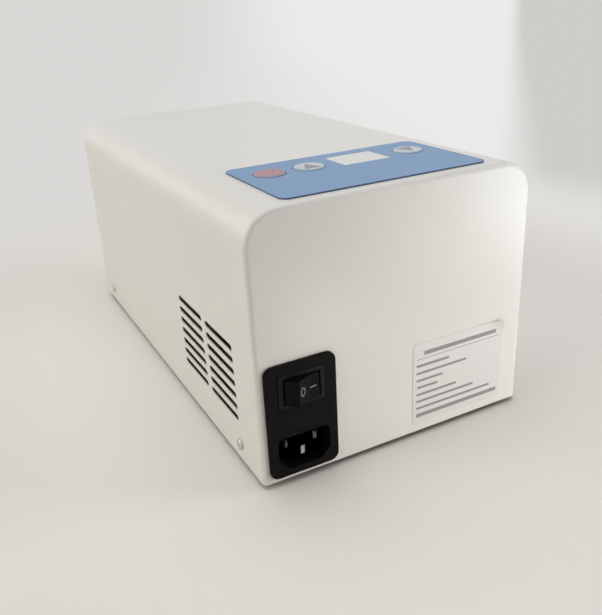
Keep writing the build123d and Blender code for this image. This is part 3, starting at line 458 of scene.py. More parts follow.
def vary_roughness(tree, shader, mask, low, high):
    """Roughness from low, where the mask is 0, to high, where it is 1."""
    spread = put(
        tree, "ShaderNodeMapRange", {"Value": mask, "To Min": low, "To Max": high}
    )
    tree.links.new(spread.outputs[0], shader.inputs["Roughness"])


def add_relief(tree, shader, height, depth_mm, strength=1.0, over=None):
    """Relief of the given depth; it can lie over another relief."""
    bump = put(
        tree, "ShaderNodeBump", {"Height": height, "Strength": strength, "Distance": depth_mm * MM}
    )
    if over is not None:
        tree.links.new(over, bump.inputs["Normal"])
    tree.links.new(bump.outputs["Normal"], shader.inputs["Normal"])
    return bump.outputs["Normal"]


def contrast(tree, value, low, high):
    """Stretches the part of a value between low and high over 0 to 1."""
    return put(
        tree, "ShaderNodeMapRange", {"Value": value, "From Min": low, "From Max": high}
    ).outputs[0]


def axes_of(tree, place):
    """The three coordinates of a place, one socket each."""
    return put(tree, "ShaderNodeSeparateXYZ", {0: place}).outputs


def grain_of(tree, place, grain_mm, cloud_mm):
    """The shared grain and clouds, at the given sizes."""
    return use_group(
        tree, grain_group, {"Place": place, "Grain mm": grain_mm, "Cloud mm": cloud_mm}
    )


def cloud_tint(tree, shader, grain, low, high, colour):
    """A second tone in the clouds of a grain."""
    return tint(tree, shader, contrast(tree, grain.outputs["Cloud"], low, high), colour)


def grain_surface(tree, shader, grain, low, high, depth_mm=None, strength=0.5):
    """Roughness that follows a grain and, where a depth is given, its relief."""
    vary_roughness(tree, shader, grain.outputs["Height"], low, high)
    if depth_mm is not None:
        add_relief(tree, shader, grain.outputs["Height"], depth_mm, strength)


def marks_of(tree, place, streak_mm, amount):
    """The shared handling marks; gives back their mask."""
    values = {"Place": place, "Streak mm": streak_mm, "Amount": amount}
    return use_group(tree, marks_group, values).outputs["Mask"]


def lines_of(tree, place, squeeze, line_mm):
    """The shared rolled lines; gives back their height."""
    values = {"Place": place, "Squeeze": squeeze, "Line mm": line_mm}
    return use_group(tree, rolled_group, values).outputs["Height"]


def bar_mask(tree, across, up, half_width, half_height, rounding=0.0001):
    """Mask of one printed bar about the origin of the two coordinates."""
    values = {
        "Across": across,
        "Up": up,
        "Half width": half_width,
        "Half height": half_height,
        "Round": rounding,
    }
    return use_group(tree, bar_group, values).outputs["Mask"]


def ring_mask(tree, across, up, radius, line):
    """Mask of one printed ring."""
    values = {"Across": across, "Up": up, "Radius": radius, "Line": line}
    return use_group(tree, ring_group, values).outputs["Mask"]


def union(tree, masks):
    """1 where any of the masks is 1."""
    joined = masks[0]
    for mask in masks[1:]:
        joined = math_node(tree, "MAXIMUM", joined, mask)
    return joined


def seen_directly(tree):
    """1 for rays from the camera, from a reflection or through glass."""
    rays = put(tree, "ShaderNodeLightPath").outputs
    kinds = ("Is Camera Ray", "Is Glossy Ray", "Is Transmission Ray")
    return union(tree, [rays[kind] for kind in kinds])


def split_place(tree, place, centre=(0.0, 0.0, 0.0), turn=0.0, scale=(1.0, 1.0, 1.0)):
    """Coordinates measured from a centre, turned about Z if asked."""
    moved = put(
        tree,
        "ShaderNodeVectorMath",
        {0: place, 1: tuple(c * MM for c in centre)},
        operation="SUBTRACT",
    )
    rotated = put(
        tree,
        "ShaderNodeMapping",
        {"Vector": moved.outputs[0], "Rotation": (0.0, 0.0, turn), "Scale": scale},
    )
    return axes_of(tree, rotated.outputs[0])


finished = {}


def finish_node(material, *names):
    """Gives CAD solids a finish."""
    for name in names:
        piece = nodes[name]
        piece.data.materials.clear()
        piece.data.materials.append(material)
        finished[name] = material.name


print("material helpers ready")

# %% [markdown]
# ## White powder coat
#
# The case is folded sheet with a baked powder coat. Close up it shows fine orange peel and a soft
# gloss; from afar a faint warm drift of tone. The relief is only hundredths of a millimetre deep, so
# it breaks up the highlights and doesn't read as a pattern.


# %% Powder coat
def powder_coat(name):
    """The coat of one part; gives back what is needed to lay another tone over it."""
    material, tree, shader, place = start_finish(name, (0.80, 0.79, 0.765), 0.36, level=0.5)
    peel = grain_of(tree, place, 1.1, 70.0)
    drift = contrast(tree, peel.outputs["Cloud"], 0.3, 0.75)
    warmed = tint(tree, shader, drift, (0.785, 0.77, 0.735))
    marks = marks_of(tree, place, 30.0, 0.6)
    vary_roughness(tree, shader, marks, 0.34, 0.46)
    add_relief(tree, shader, peel.outputs["Height"], 0.03, 0.35)
    return material, tree, shader, place, warmed


front_coat, *_ = powder_coat("white powder coat")
finish_node(front_coat, "front_panel", "drawer_front")
print(front_coat.name, "on", 2, "solids")

# %% [markdown]
# Below half a millimetre under the outer surface, that is inside the cover and in most of the vents'
# cut edges, the coat is tinted nearly black: painted shade of the unlit inside. How deep a point lies
# under the outer surface is worked out from the shape of the cover: with a the distance past the flat
# top or side towards the corner's middle and r the corner's radius, the depth under the arch is
# r - hypot(a, b). The rear edge is rounded in the same way, from the depth under the arch and the depth
# behind the rear wall.

# %% Cover coat
cover_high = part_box("housing_cover")[1]
ARCH_RADIUS = 0.015
REAR_RADIUS = 0.002


def rounded_depth(tree, depth_a, depth_b, radius):
    """Depth under two surfaces that meet in a rounded edge: r - hypot(max(r - a, 0), max(r - b, 0))."""
    squares = []
    for depth in (depth_a, depth_b):
        past = math_node(tree, "MAXIMUM", math_node(tree, "SUBTRACT", radius, depth), 0.0)
        squares.append(math_node(tree, "MULTIPLY", past, past))
    reach = math_node(tree, "SQRT", math_node(tree, "ADD", squares[0], squares[1]))
    return math_node(tree, "SUBTRACT", radius, reach)


cover_coat, tree, shader, place, coat_tone = powder_coat("powder coat with painted inner shade")
here = axes_of(tree, place)
side_depth = math_node(tree, "SUBTRACT", cover_high.x, math_node(tree, "ABSOLUTE", here["X"]))
top_depth = math_node(tree, "SUBTRACT", cover_high.z, here["Z"])
rear_depth = math_node(tree, "SUBTRACT", cover_high.y, here["Y"])
arch_depth = rounded_depth(tree, side_depth, top_depth, ARCH_RADIUS)
coat_depth = rounded_depth(tree, arch_depth, rear_depth, REAR_RADIUS)
COAT_EDGE = (0.0004, 0.00055)
# painted shade: deeper than half a millimetre under the outer surface the coat is tinted nearly black
painted_inner_shade = contrast(tree, coat_depth, *COAT_EDGE)
tint(tree, shader, painted_inner_shade, (0.035, 0.034, 0.033), below=coat_tone)
finish_node(cover_coat, "housing_cover")
print(cover_coat.name, "painted shade below 0.5 mm")

# %% [markdown]
# ## Zinc-plated sheet
#
# The base plate, the bulkhead and the drawer runners aren't painted. Zinc plating is a dull grey metal
# with a blurred, slightly mottled reflection.

# %% Zinc sheet
zinc_sheet, tree, shader, place = start_finish(
    "zinc-plated sheet", (0.56, 0.57, 0.58), 0.42, metallic=1.0
)
mottle = put(tree, "ShaderNodeTexVoronoi", {"Vector": place, "Scale": 140.0, "Randomness": 1.0})
flakes = contrast(tree, mottle.outputs["Distance"], 0.0, 0.9)
tint(tree, shader, flakes, (0.64, 0.65, 0.66))
zinc_lines = lines_of(tree, place, (1.0, 0.03, 1.0), 0.5)
vary_roughness(tree, shader, zinc_lines, 0.32, 0.55)
add_relief(tree, shader, zinc_lines, 0.01, 0.3)
finish_node(zinc_sheet, "base_plate", "bulkhead", "drawer_runner_left", "drawer_runner_right")
print(zinc_sheet.name)

# %% [markdown]
# ## Bright rolled aluminium
#
# The reflector, the lamp clips and the drawer are thin bright aluminium. The lines of the rolling mill
# run along the unit and stretch every reflection across them.

# %% Bright aluminium
bright_sheet, tree, shader, place = start_finish(
    "bright rolled aluminium", (0.80, 0.81, 0.82), 0.22, metallic=1.0
)
sheet_lines = lines_of(tree, place, (1.0, 0.015, 1.0), 0.25)
sheet_clouds = grain_of(tree, place, 0.4, 35.0)
vary_roughness(tree, shader, sheet_lines, 0.14, 0.34)
cloud_tint(tree, shader, sheet_clouds, 0.35, 0.7, (0.74, 0.75, 0.765))
add_relief(tree, shader, sheet_lines, 0.012, 0.4)
finish_node(bright_sheet, "lamp_reflector", "lamp_clips", "drawer_box")
print(bright_sheet.name)

# %% [markdown]
# ## Chrome, nickel and brass
#
# The drawer's handle is a chromed rod: nearly a mirror, with faint wipe marks. Screws and the pins of
# the inlet are nickel-plated, which is warmer and softer; behind their bright tips the blades are tinted
# dark as painted shade of the deep cavity they stand in. Standoffs and the earth stud are plain brass.


# %% Plated metals
def plated(name, colour, roughness, rough_high, streak_mm):
    """A plated metal with wipe marks that dull the gloss here and there."""
    material, tree, shader, place = start_finish(name, colour, roughness, metallic=1.0)
    wipe = marks_of(tree, place, streak_mm, 1.0)
    dull = grain_of(tree, place, 0.3, 9.0)
    mixed = math_node(
        tree, "MULTIPLY_ADD", dull.outputs["Cloud"], 0.4, wipe, clamp=True
    )
    vary_roughness(tree, shader, mixed, roughness, rough_high)
    darker = tuple(c * 0.86 for c in colour)
    cloud_tint(tree, shader, dull, 0.45, 0.75, darker)
    add_relief(tree, shader, dull.outputs["Height"], 0.004, 0.25)
    return material


chrome_rod = plated("chromed rod", (0.83, 0.84, 0.86), 0.05, 0.16, 8.0)
nickel_plate = plated("nickel-plated steel", (0.68, 0.66, 0.62), 0.22, 0.42, 3.0)
pin_plate = plated("nickel-plated blade", (0.62, 0.59, 0.55), 0.24, 0.42, 2.0)
plain_brass = plated("plain brass", (0.75, 0.58, 0.28), 0.24, 0.45, 4.0)
pin_tree = pin_plate.node_tree
pin_shader = pin_tree.nodes["Principled BSDF"]
pin_place = put(pin_tree, "ShaderNodeTexCoord").outputs["Object"]
pin_y = axes_of(pin_tree, pin_place)["Y"]
pin_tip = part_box("inlet_pins")[1].y
LIT_TIP_LENGTH, SHADED_BEHIND_TIP = 0.0009, 0.0016
# painted shade: the blades are darkened behind their tips, where they stand deep in the inlet's cavity
painted_cavity_shade = contrast(pin_tree, pin_y, pin_tip - LIT_TIP_LENGTH, pin_tip - SHADED_BEHIND_TIP)
pin_tone = pin_shader.inputs["Base Color"].links[0].from_socket
tint(pin_tree, pin_shader, painted_cavity_shade, (0.17, 0.155, 0.14), below=pin_tone)
finish_node(chrome_rod, "drawer_handle")
finish_node(pin_plate, "inlet_pins")
finish_node(plain_brass, "board_standoffs", "control_standoffs", "earth_stud")
print("plated metals: chrome, nickel, blade and brass")

# %% [markdown]
# ## Black mouldings
#
# The mains module, the fuse drawer and the switch housing are moulded in black with a fine spark-eroded
# grain: deep black, but with a broad dull sheen. The rocker is the same black, polished.


# %% Black plastics
def black_moulding(name, colour, low, high, grain_mm, relief_mm, level):
    """Black plastic with a grain; low and high are the ends of its roughness."""
    material, tree, shader, place = start_finish(name, colour, low, level=level)
    grain = grain_of(tree, place, grain_mm, 14.0)
    rub = marks_of(tree, place, 6.0, 0.8)
    lighter = tuple(c * 2.2 + 0.003 for c in colour)
    tint(tree, shader, rub, lighter)
    vary_roughness(tree, shader, contrast(tree, grain.outputs["Cloud"], 0.3, 0.7), low, high)
    add_relief(tree, shader, grain.outputs["Height"], relief_mm, 0.5)
    return material, tree, shader, place


grained_black, *_ = black_moulding(
    "grained black moulding", (0.0035, 0.0033, 0.0027), 0.5, 0.64, 0.35, 0.02, 0.09
)
finish_node(grained_black, "inlet_body", "fuse_drawer", "key_switches", "display_module")
bezel_black, *_ = black_moulding(
    "smooth black moulding", (0.0052, 0.0047, 0.0056), 0.4, 0.5, 0.5, 0.008, 0.14
)
finish_node(bezel_black, "switch_body")
print("black mouldings: 2")

# %% [markdown]
# ## The rocker and its two marks
#
# The rocker carries the usual round and straight marks for off and on, moulded in white. They lie on
# the curved face, so they are drawn from coordinates across the switch and up the wall, and a test on
# depth keeps them off the back of the piece. The round mark is taller than wide, so the coordinate
# across is stretched before the ring is asked for.

# %% Rocker with marks
rocker_black, tree, shader, place = black_moulding(
    "polished black rocker", (0.0042, 0.004, 0.0046), 0.36, 0.46, 0.8, 0.003, 0.06
)
base_black = shader.inputs["Base Color"].links[0].from_socket
OFF_MARK_MM = (50.3, 127.6, 44.8)
ON_MARK_MM = (44.6, 127.6, 44.8)
RING_STRETCH = 1.45
off_mark = split_place(tree, place, OFF_MARK_MM, scale=(RING_STRETCH, 1.0, 1.0))
off_ring = ring_mask(tree, off_mark["X"], off_mark["Z"], 0.00168, 0.0004)
on_mark = split_place(tree, place, ON_MARK_MM)
on_bar = bar_mask(tree, on_mark["X"], on_mark["Z"], 0.0016, 0.0002)
in_front = contrast(tree, on_mark["Y"], 0.0002, 0.0004)
either = union(tree, [off_ring, on_bar])
on_face = math_node(tree, "MULTIPLY", either, in_front)
tint(tree, shader, on_face, (0.36, 0.36, 0.35), below=base_black)
finish_node(rocker_black, "rocker")
print(rocker_black.name, "with", 2, "marks")

# %% [markdown]
# ## Rubber, foam and pale plastics
#
# The feet are matt moulded rubber, the drawer's light seal is an open-pored foam, the lamp bases and
# sockets are white heat-proof plastic, and the glides are a waxy acetal. They share the same recipe
# with different grain, depth and gloss.


# %% Soft and pale plastics
def plain_moulding(name, colour, second, low, high, grain_mm, relief_mm, level=0.5):
    """A dull plastic or rubber: clouds between two tones, grain as relief."""
    material, tree, shader, place = start_finish(name, colour, low, level=level)
    grain = grain_of(tree, place, grain_mm, 18.0)
    cloud_tint(tree, shader, grain, 0.35, 0.7, second)
    grain_surface(tree, shader, grain, low, high, relief_mm, 0.6)
    return material


foot_rubber = plain_moulding(
    "matt black rubber", (0.02, 0.02, 0.02), (0.035, 0.034, 0.032), 0.7, 0.9, 0.6, 0.03, 0.3
)
seal_foam = plain_moulding(
    "black foam", (0.03, 0.03, 0.031), (0.055, 0.055, 0.056), 0.85, 1.0, 0.9, 0.3, 0.2
)
heatproof_white = plain_moulding(
    "heat-proof white plastic", (0.82, 0.81, 0.78), (0.77, 0.755, 0.72), 0.4, 0.52, 0.5, 0.01
)
acetal = plain_moulding(
    "waxy acetal", (0.72, 0.71, 0.67), (0.66, 0.65, 0.61), 0.3, 0.42, 0.7, 0.008
)
finish_node(foot_rubber, "foot_front_left", "foot_front_right", "foot_rear_left", "foot_rear_right")
finish_node(seal_foam, "light_seal")
lamp_numbers = range(1, 5)
finish_node(heatproof_white, *[f"lamp_base_{n}" for n in lamp_numbers])
finish_node(heatproof_white, *[f"lamp_socket_{n}" for n in lamp_numbers], "wire_headers")
finish_node(acetal, "drawer_glide_left", "drawer_glide_right")
print("soft and pale plastics:", 4)

# %% [markdown]
# ## Lamp glass
#
# A curing lamp is a glass tube with a white phosphor on its inside. It looks like porcelain under a
# clear glaze: a white body and a sharp coat. Near the base the glass is greyer, where the electrodes
# have darkened it.

# %% Lamp tubes
lamp_white, tree, shader, place = start_finish(
    "phosphor behind glass", (0.86, 0.89, 0.93), 0.35, coat=1.0, coat_roughness=0.03
)
low_corner, high_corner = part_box("lamp_glass_1")
powder = grain_of(tree, place, 0.5, 22.0)
cloudy = cloud_tint(tree, shader, powder, 0.4, 0.8, (0.80, 0.83, 0.89))
along_tube = axes_of(tree, place)["Y"]
DARK_END = 0.022
darkened = contrast(tree, along_tube, high_corner.y - DARK_END, high_corner.y)
tint(tree, shader, darkened, (0.42, 0.42, 0.44), below=cloudy)
vary_roughness(tree, shader, powder.outputs["Height"], 0.3, 0.42)
finish_node(lamp_white, *[f"lamp_glass_{n}" for n in lamp_numbers])
print("tube length in mm:", round((high_corner.y - low_corner.y) * 1000, 1))

# %% [markdown]
# ## The mirror in the tray
#
# The pieces to be cured lie on a mirror, so that light reaches them from below. Its face is silver and
# almost perfectly smooth, with the odd wipe mark.

# %% Tray mirror
tray_silver, tree, shader, place = start_finish(
    "silvered glass", (0.86, 0.89, 0.88), 0.02, metallic=1.0
)
wipes = marks_of(tree, place, 18.0, 1.0)
vary_roughness(tree, shader, wipes, 0.015, 0.12)
tint(tree, shader, wipes, (0.80, 0.84, 0.83))
finish_node(tray_silver, "tray_mirror")
print(tray_silver.name)

# %% [markdown]
# ## The keypad film
#
# The keypad is a polyester film, printed blue on its underside, with a satin texture on top. The
# texture is a very fine pebble, which spreads the sky's reflection into a veil. The film's cut sides
# are tinted darker than its face as painted shade along its edge.

# %% Blue film
blue_film, tree, shader, place = start_finish(
    "blue printed film", (0.178, 0.322, 0.54), 0.4, level=0.5
)
pebble = grain_of(tree, place, 0.28, 40.0)
drifted = cloud_tint(tree, shader, pebble, 0.35, 0.7, (0.194, 0.342, 0.56))
film_z = axes_of(tree, place)["Z"]
film_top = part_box("keypad_overlay")[1].z
# painted shade: the film's sides just below its top are tinted dark
painted_edge_shade = contrast(tree, film_z, film_top - 0.0001, film_top - 0.00015)
tint(tree, shader, painted_edge_shade, (0.07, 0.11, 0.22), below=drifted)
grain_surface(tree, shader, pebble, 0.36, 0.52, 0.012, 0.5)
finish_node(blue_film, "keypad_overlay")
print(blue_film.name)

# %% [markdown]
# ## The three keys
#
# Each key is a low disc under the same kind of film. The start key is red with a plain ring and bar,
# the two others are pale with a triangle: one points to the front, the other to the rear. The marks
# are printed, so they are masks in the film's colour, worked out from coordinates on the top.


# %% Key films
def key_film(name, colour, cloud_colour, rim_colour, centre):
    """Film over one key, with a rim of its own tone where the film bends over the edge."""
    material, tree, shader, place = start_finish(name, colour, 0.38)
    pebble = grain_of(tree, place, 0.28, 7.0)
    below = cloud_tint(tree, shader, pebble, 0.4, 0.7, cloud_colour)
    here = split_place(tree, place, centre)
    rim = ring_mask(tree, here["X"], here["Y"], 0.0069, 0.0012)
    below = tint(tree, shader, rim, rim_colour, below=below)
    grain_surface(tree, shader, pebble, 0.32, 0.5, 0.012, 0.5)
    return material, tree, shader, place, below


def key_centre(node):
    """Middle of a key's top, in millimetres."""
    low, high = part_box(node)
    return tuple(1000 * v for v in ((low.x + high.x) / 2, (low.y + high.y) / 2, high.z))


for node, direction in (("key_down", math.pi), ("key_up", 0.0)):
    centre = key_centre(node)
    material, tree, shader, place, below = key_film(
        "pale film of " + node.replace("_", " "),
        (0.60, 0.65, 0.69),
        (0.54, 0.60, 0.65),
        (0.44, 0.53, 0.65),
        centre,
    )
    there = split_place(tree, place, centre, turn=direction)
    arrow = use_group(
        tree,
        arrow_group,
        {"Across": there["X"], "Up": there["Y"], "Half base": 0.0042, "Tall": 0.0091},
    )
    tint(tree, shader, arrow.outputs["Mask"], (0.25, 0.27, 0.30), below=below)
    finish_node(material, node)
    print(node, "arrow turned by", round(math.degrees(direction)))

start_centre = key_centre("key_start")
red_film, tree, shader, place, below = key_film(
    "red film of the start key", (0.45, 0.20, 0.22), (0.36, 0.23, 0.28), (0.38, 0.34, 0.43), start_centre
)
here = split_place(tree, place, start_centre)
start_ring = ring_mask(tree, here["X"], here["Y"], 0.0033, 0.0007)
start_bar = bar_mask(tree, here["X"], here["Y"], 0.00035, 0.0018)
start_mark = union(tree, [start_ring, start_bar])
tint(tree, shader, start_mark, (0.48, 0.31, 0.34), below=below)
finish_node(red_film, "key_start")
print("key_start with ring and bar")

# %% [markdown]
# ## The display window
#
# Behind the milky pane lie three unlit digits. Each digit is seven bars, and the pattern repeats from
# digit to digit, so the coordinate across is wrapped once and the seven bars are asked for only once.

# %% Display pane
pane_low, pane_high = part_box("display_window")
pane_centre = tuple(
    1000 * v
    for v in ((pane_low.x + pane_high.x) / 2, (pane_low.y + pane_high.y) / 2, pane_high.z)
)
pane_film, tree, shader, place = start_finish(
    "milky pane", (0.72, 0.725, 0.72), 0.24, coat=0.5, coat_roughness=0.08
)
haze = grain_of(tree, place, 0.5, 12.0)
below = cloud_tint(tree, shader, haze, 0.35, 0.7, (0.68, 0.69, 0.695))
here = split_place(tree, place, pane_centre)
DIGIT_PITCH = 0.0066
wrapped = math_node(
    tree,
    "SUBTRACT",
    math_node(
        tree,
        "WRAP",
        math_node(tree, "ADD", here["X"], DIGIT_PITCH / 2),
        DIGIT_PITCH,
        0.0,
    ),
    DIGIT_PITCH / 2,
)
LONG_HALF, THIN_HALF = 0.0014, 0.0003
SEGMENTS = [(0.0, up, LONG_HALF, THIN_HALF) for up in (0.0, 0.0038, -0.0038)]
SEGMENTS += [
    (across, up, THIN_HALF, LONG_HALF) for up in (0.0019, -0.0019) for across in (0.0019, -0.0019)
]
segment_masks = [
    bar_mask(
        tree,
        math_node(tree, "SUBTRACT", wrapped, across),
        math_node(tree, "SUBTRACT", here["Y"], up),
        half_width,
        half_height,
    )
    for across, up, half_width, half_height in SEGMENTS
]
within = bar_mask(tree, here["X"], here["Y"], 1.5 * DIGIT_PITCH, 0.006)
digits = math_node(tree, "MULTIPLY", union(tree, segment_masks), within)
DIGIT_SHADE = 0.16
faint = math_node(tree, "MULTIPLY", digits, DIGIT_SHADE)
tint(tree, shader, faint, (0.30, 0.34, 0.38), below=below)
vary_roughness(tree, shader, haze.outputs["Cloud"], 0.2, 0.34)
finish_node(pane_film, "display_window")
print("segments per digit:", len(SEGMENTS))

# %% [markdown]
# ## The rating label
#
# The label is a thin silver film. One corner has come loose and lifts off the wall, which a flat solid
# can't show, so the film is made anew: a grid across its width and height, with its corners rounded by
# drawing the grid's corner squares in to quarter discs, and one corner raised along the diagonal. It
# carries no words; plain bars stand where a label has its rows.

# %% Label sheet
label_low, label_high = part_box("rating_label")


def rounded_sheet(low_x, high_x, low_z, high_z, radius, columns, rows):
    """Grid over a rectangle whose corner squares are drawn in: a point at (dx, dz) from a corner's
    centre keeps its direction, and its distance becomes the larger of dx and dz."""
    x, z = np.meshgrid(np.linspace(low_x, high_x, columns), np.linspace(low_z, high_z, rows))
    core_x = np.clip(x, low_x + radius, high_x - radius)
    core_z = np.clip(z, low_z + radius, high_z - radius)
    dx = x - core_x
    dz = z - core_z
    reach = np.hypot(dx, dz)
    larger = np.maximum(np.abs(dx), np.abs(dz))
    factor = np.where(reach > 0, larger / np.where(reach > 0, reach, 1), 1)
    return core_x + dx * factor, core_z + dz * factor


label_x, label_z = rounded_sheet(
    label_low.x, label_high.x, label_low.z, label_high.z, 0.002, 90, 72
)
from_corner = (label_x - label_low.x) + (label_high.z - label_z)
PEEL_REACH = 0.011
peeled = np.clip(1 - from_corner / PEEL_REACH, 0, 1)
PEEL_HEIGHT = 0.0016
lift = PEEL_HEIGHT * peeled**2
ripple = 0.00003 * np.sin(label_x * 260) * np.sin(label_z * 190 + 1.0)
label_y = label_low.y + 0.00006 + lift + np.abs(ripple)
label_front = np.stack([label_x, label_y + 0.00007, label_z], axis=-1)
label_back = np.stack([label_x, label_y, label_z], axis=-1)
label_rim = np.stack(
    [
        np.concatenate([side[0], side[1:, -1], side[-1, -2::-1], side[-2:0:-1, 0]])
        for side in (label_front, label_back)
    ]
)
print("label grid:", label_front.shape[:2], "lift in mm:", round(float(lift.max()) * 1000, 2))

# %% [markdown]
# The silver film has a satin metal look that is really a metallic ink: half metal, fairly rough, with a
# fine horizontal brush. The rows of bars are laid out in one table: place, half length and half height,
# all in millimetres from the label's middle.

# %% Label finish
silver_film, tree, shader, place = start_finish(
    "satin silver film", (0.76, 0.755, 0.745), 0.45, metallic=0.12
)
label_centre = tuple(
    1000 * v
    for v in ((label_low.x + label_high.x) / 2, label_low.y, (label_low.z + label_high.z) / 2)
)
brush = lines_of(tree, place, (0.05, 1.0, 1.0), 0.25)
below = tint(tree, shader, contrast(tree, brush, 0.35, 0.7), (0.73, 0.725, 0.715))
here = split_place(tree, place, label_centre)
LABEL_BARS = [
    (-1.0, 15.2, 20.5, 1.0),
    (0.0, 12.6, 23.5, 0.16),
    (14.5, 9.3, 9.0, 0.65),
    (9.5, 5.6, 14.0, 0.6),
    (16.2, 1.9, 7.2, 0.6),
    (17.5, -1.7, 5.6, 0.6),
    (12.2, -5.3, 11.2, 0.6),
    (7.2, -8.8, 16.2, 0.6),
    (2.2, -12.4, 21.2, 0.6),
    (0.0, -16.2, 23.5, 0.95),
]
row_masks = [
    bar_mask(
        tree,
        math_node(tree, "SUBTRACT", here["X"], across * MM),
        math_node(tree, "SUBTRACT", here["Z"], up * MM),
        half_width * MM,
        half_height * MM,
        rounding=0.00015,
    )
    for across, up, half_width, half_height in LABEL_BARS
]
ink = math_node(tree, "MULTIPLY", union(tree, row_masks), 0.7)
tint(tree, shader, ink, (0.10, 0.10, 0.105), below=below)
vary_roughness(tree, shader, brush, 0.34, 0.5)
add_relief(tree, shader, brush, 0.004, 0.3)
label_piece = new_piece(
    "label_film",
    [(label_front, False, False), (label_back, False, False), (label_rim, False, True)],
    silver_film,
    "case",
)
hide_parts("rating_label")
print("bars on the label:", len(LABEL_BARS))

# %% [markdown]
# ## Cross-head screws
#
# The screws are pan heads with a cross recess. The head is a dome carried round the axis, and the
# recess is pressed into it by lowering the points that lie inside a cross: close to one of two
# perpendicular lines and not too far from the middle. The cross gets shallower outwards, as the tip of
# a screwdriver does.


# %% Screws
def cross_head_screw(seat, outward, sizes, turn, rings=22, around=64):
    """Dome: radius R sin(a), height H (0.5 + 0.5 cos(a)^0.7) for a from 0 to 90 degrees; recess: depth
    falls linearly to 0 at the arm's end and is cut where the distance to an arm's line is small."""
    shank_radius, length, head_radius, head_height = (v * MM for v in sizes)
    a = np.linspace(0, 1, rings) ** 0.8 * np.pi / 2
    radius = head_radius * np.sin(a)
    height = head_height * (0.5 + 0.5 * np.cos(a) ** 0.7)
    tail = np.array(
        [
            [head_radius, 0.15 * head_height],
            [head_radius * 0.96, 0.0],
            [shank_radius, 0.0],
            [shank_radius, 0.12 * shank_radius - length],
            [shank_radius * 0.75, -length],
            [0.0, -length],
        ]
    )
    profile = np.concatenate([np.stack([radius, height], axis=-1), tail])
    points = turned(profile, (0, 0, 0), (0, 0, 1), around)
    x = points[:rings, :, 0] * math.cos(turn) + points[:rings, :, 1] * math.sin(turn)
    y = points[:rings, :, 1] * math.cos(turn) - points[:rings, :, 0] * math.sin(turn)
    near = np.minimum(np.abs(x), np.abs(y))
    far = np.maximum(np.abs(x), np.abs(y))
    arm_half = 0.13 * head_radius
    arm_end = 0.6 * head_radius
    inside = np.clip((arm_half * 1.25 - near) / (arm_half * 0.5), 0, 1)
    taper = np.clip(1 - far / arm_end, 0, 1) ** 0.6
    points[:rings, :, 2] -= 0.75 * head_height * inside * taper
    return points @ basis_about(outward) + np.array(seat, float) * MM


def screw_set(name, node, places, sizes, body, rings=22, around=64):
    """All screws of one kind as one piece that stands for their CAD node."""
    grids = [
        (cross_head_screw(seat, outward, sizes, 0.3 + 0.9 * k, rings, around), False, True)
        for k, (seat, outward) in enumerate(places)
    ]
    piece = new_piece(name, grids, nickel_plate, body, degrees=40.0)
    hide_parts(node)
    return piece


cover_places = [
    ((side * 68.5, y, 10.5), (side, 0, 0)) for side in (-1, 1) for y in (-111.5, 107.0)
]
screw_set("cover_cross_screws", "cover_screws", cover_places, (1.5, 5.0, 2.7, 1.3), "case")
foot_places = [((x, y, 1.5), (0, 0, -1)) for x in (-52.5, 52.5) for y in (-110.0, 110.0)]
screw_set("foot_cross_screws", "foot_screws", foot_places, (1.5, 4.5, 2.8, 1.2), "case")
grip_low, grip_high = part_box("handle_screws")
grip_z = (grip_low.z + grip_high.z) / 2 * 1000
grip_places = [((x, -134.5, grip_z), (0, 1, 0)) for x in (-32.0, 32.0)]
screw_set("handle_cross_screws", "handle_screws", grip_places, (2.0, 12.0, 3.8, 2.6), "drawer")

# %% [markdown]
# The small screws inside are the same shape with fewer rings, because they are only seen through the
# vents or with the drawer out.

# %% Inner screws
board_low, board_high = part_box("ballast_board")
control_low, control_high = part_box("control_board")
STANDOFF_INSET = 4.0
inner_places = []
for x_side in (-1, 1):
    for y_side in (-1, 1):
        for low, high, z, outward in (
            (board_low, board_high, board_high.z, (0, 0, 1)),
            (control_low, control_high, control_low.z, (0, 0, -1)),
        ):
            middle = (low + high) / 2 * 1000
            half = (high - low) / 2 * 1000
            seat = (
                middle.x + x_side * (half.x - STANDOFF_INSET),
                middle.y + y_side * (half.y - STANDOFF_INSET),
                z * 1000,
            )
            inner_places.append((seat, outward))
for x in (-16.2, 16.2):
    inner_places.append(((x, 39.2, 114.0), (0, 1, 0)))
screw_set("inner_cross_screws", "inner_screws", inner_places, (1.5, 6.0, 2.8, 1.8), "case", 14, 40)

# %% [markdown]
# ## Circuit boards
#
# A board is glass-fibre under a green solder mask. Copper tracks show through as slightly lighter
# lines: the borders of square cells, which a Voronoi texture with little randomness gives, make a
# believable layout at this size.

# %% Circuit boards
board_green, tree, shader, place = start_finish(
    "green solder mask", (0.025, 0.14, 0.06), 0.3, coat=0.4, coat_roughness=0.15
)
weave = grain_of(tree, place, 0.4, 15.0)
cells = put(
    tree,
    "ShaderNodeTexVoronoi",
    {"Vector": place, "Scale": 320.0, "Randomness": 0.55},
    feature="DISTANCE_TO_EDGE",
)
tracks = contrast(tree, cells.outputs["Distance"], 0.14, 0.1)
below = tint(tree, shader, tracks, (0.05, 0.22, 0.10))
pads = put(tree, "ShaderNodeTexVoronoi", {"Vector": place, "Scale": 320.0, "Randomness": 0.55})
solder = contrast(tree, pads.outputs["Distance"], 0.2, 0.16)
tint(tree, shader, solder, (0.55, 0.55, 0.52), below=below)
vary_roughness(tree, shader, weave.outputs["Height"], 0.24, 0.4)
add_relief(tree, shader, tracks, 0.03, 0.4)
finish_node(board_green, "ballast_board", "control_board")
print(board_green.name)

# %% [markdown]
# ## Ballast parts
#
# Through the vents one sees the warm colours of the lamp ballast: transformers taped in orange round a
# dark ferrite core, capacitors in a blue-black sleeve with a bare aluminium top, and chokes wound with
# lacquered copper.

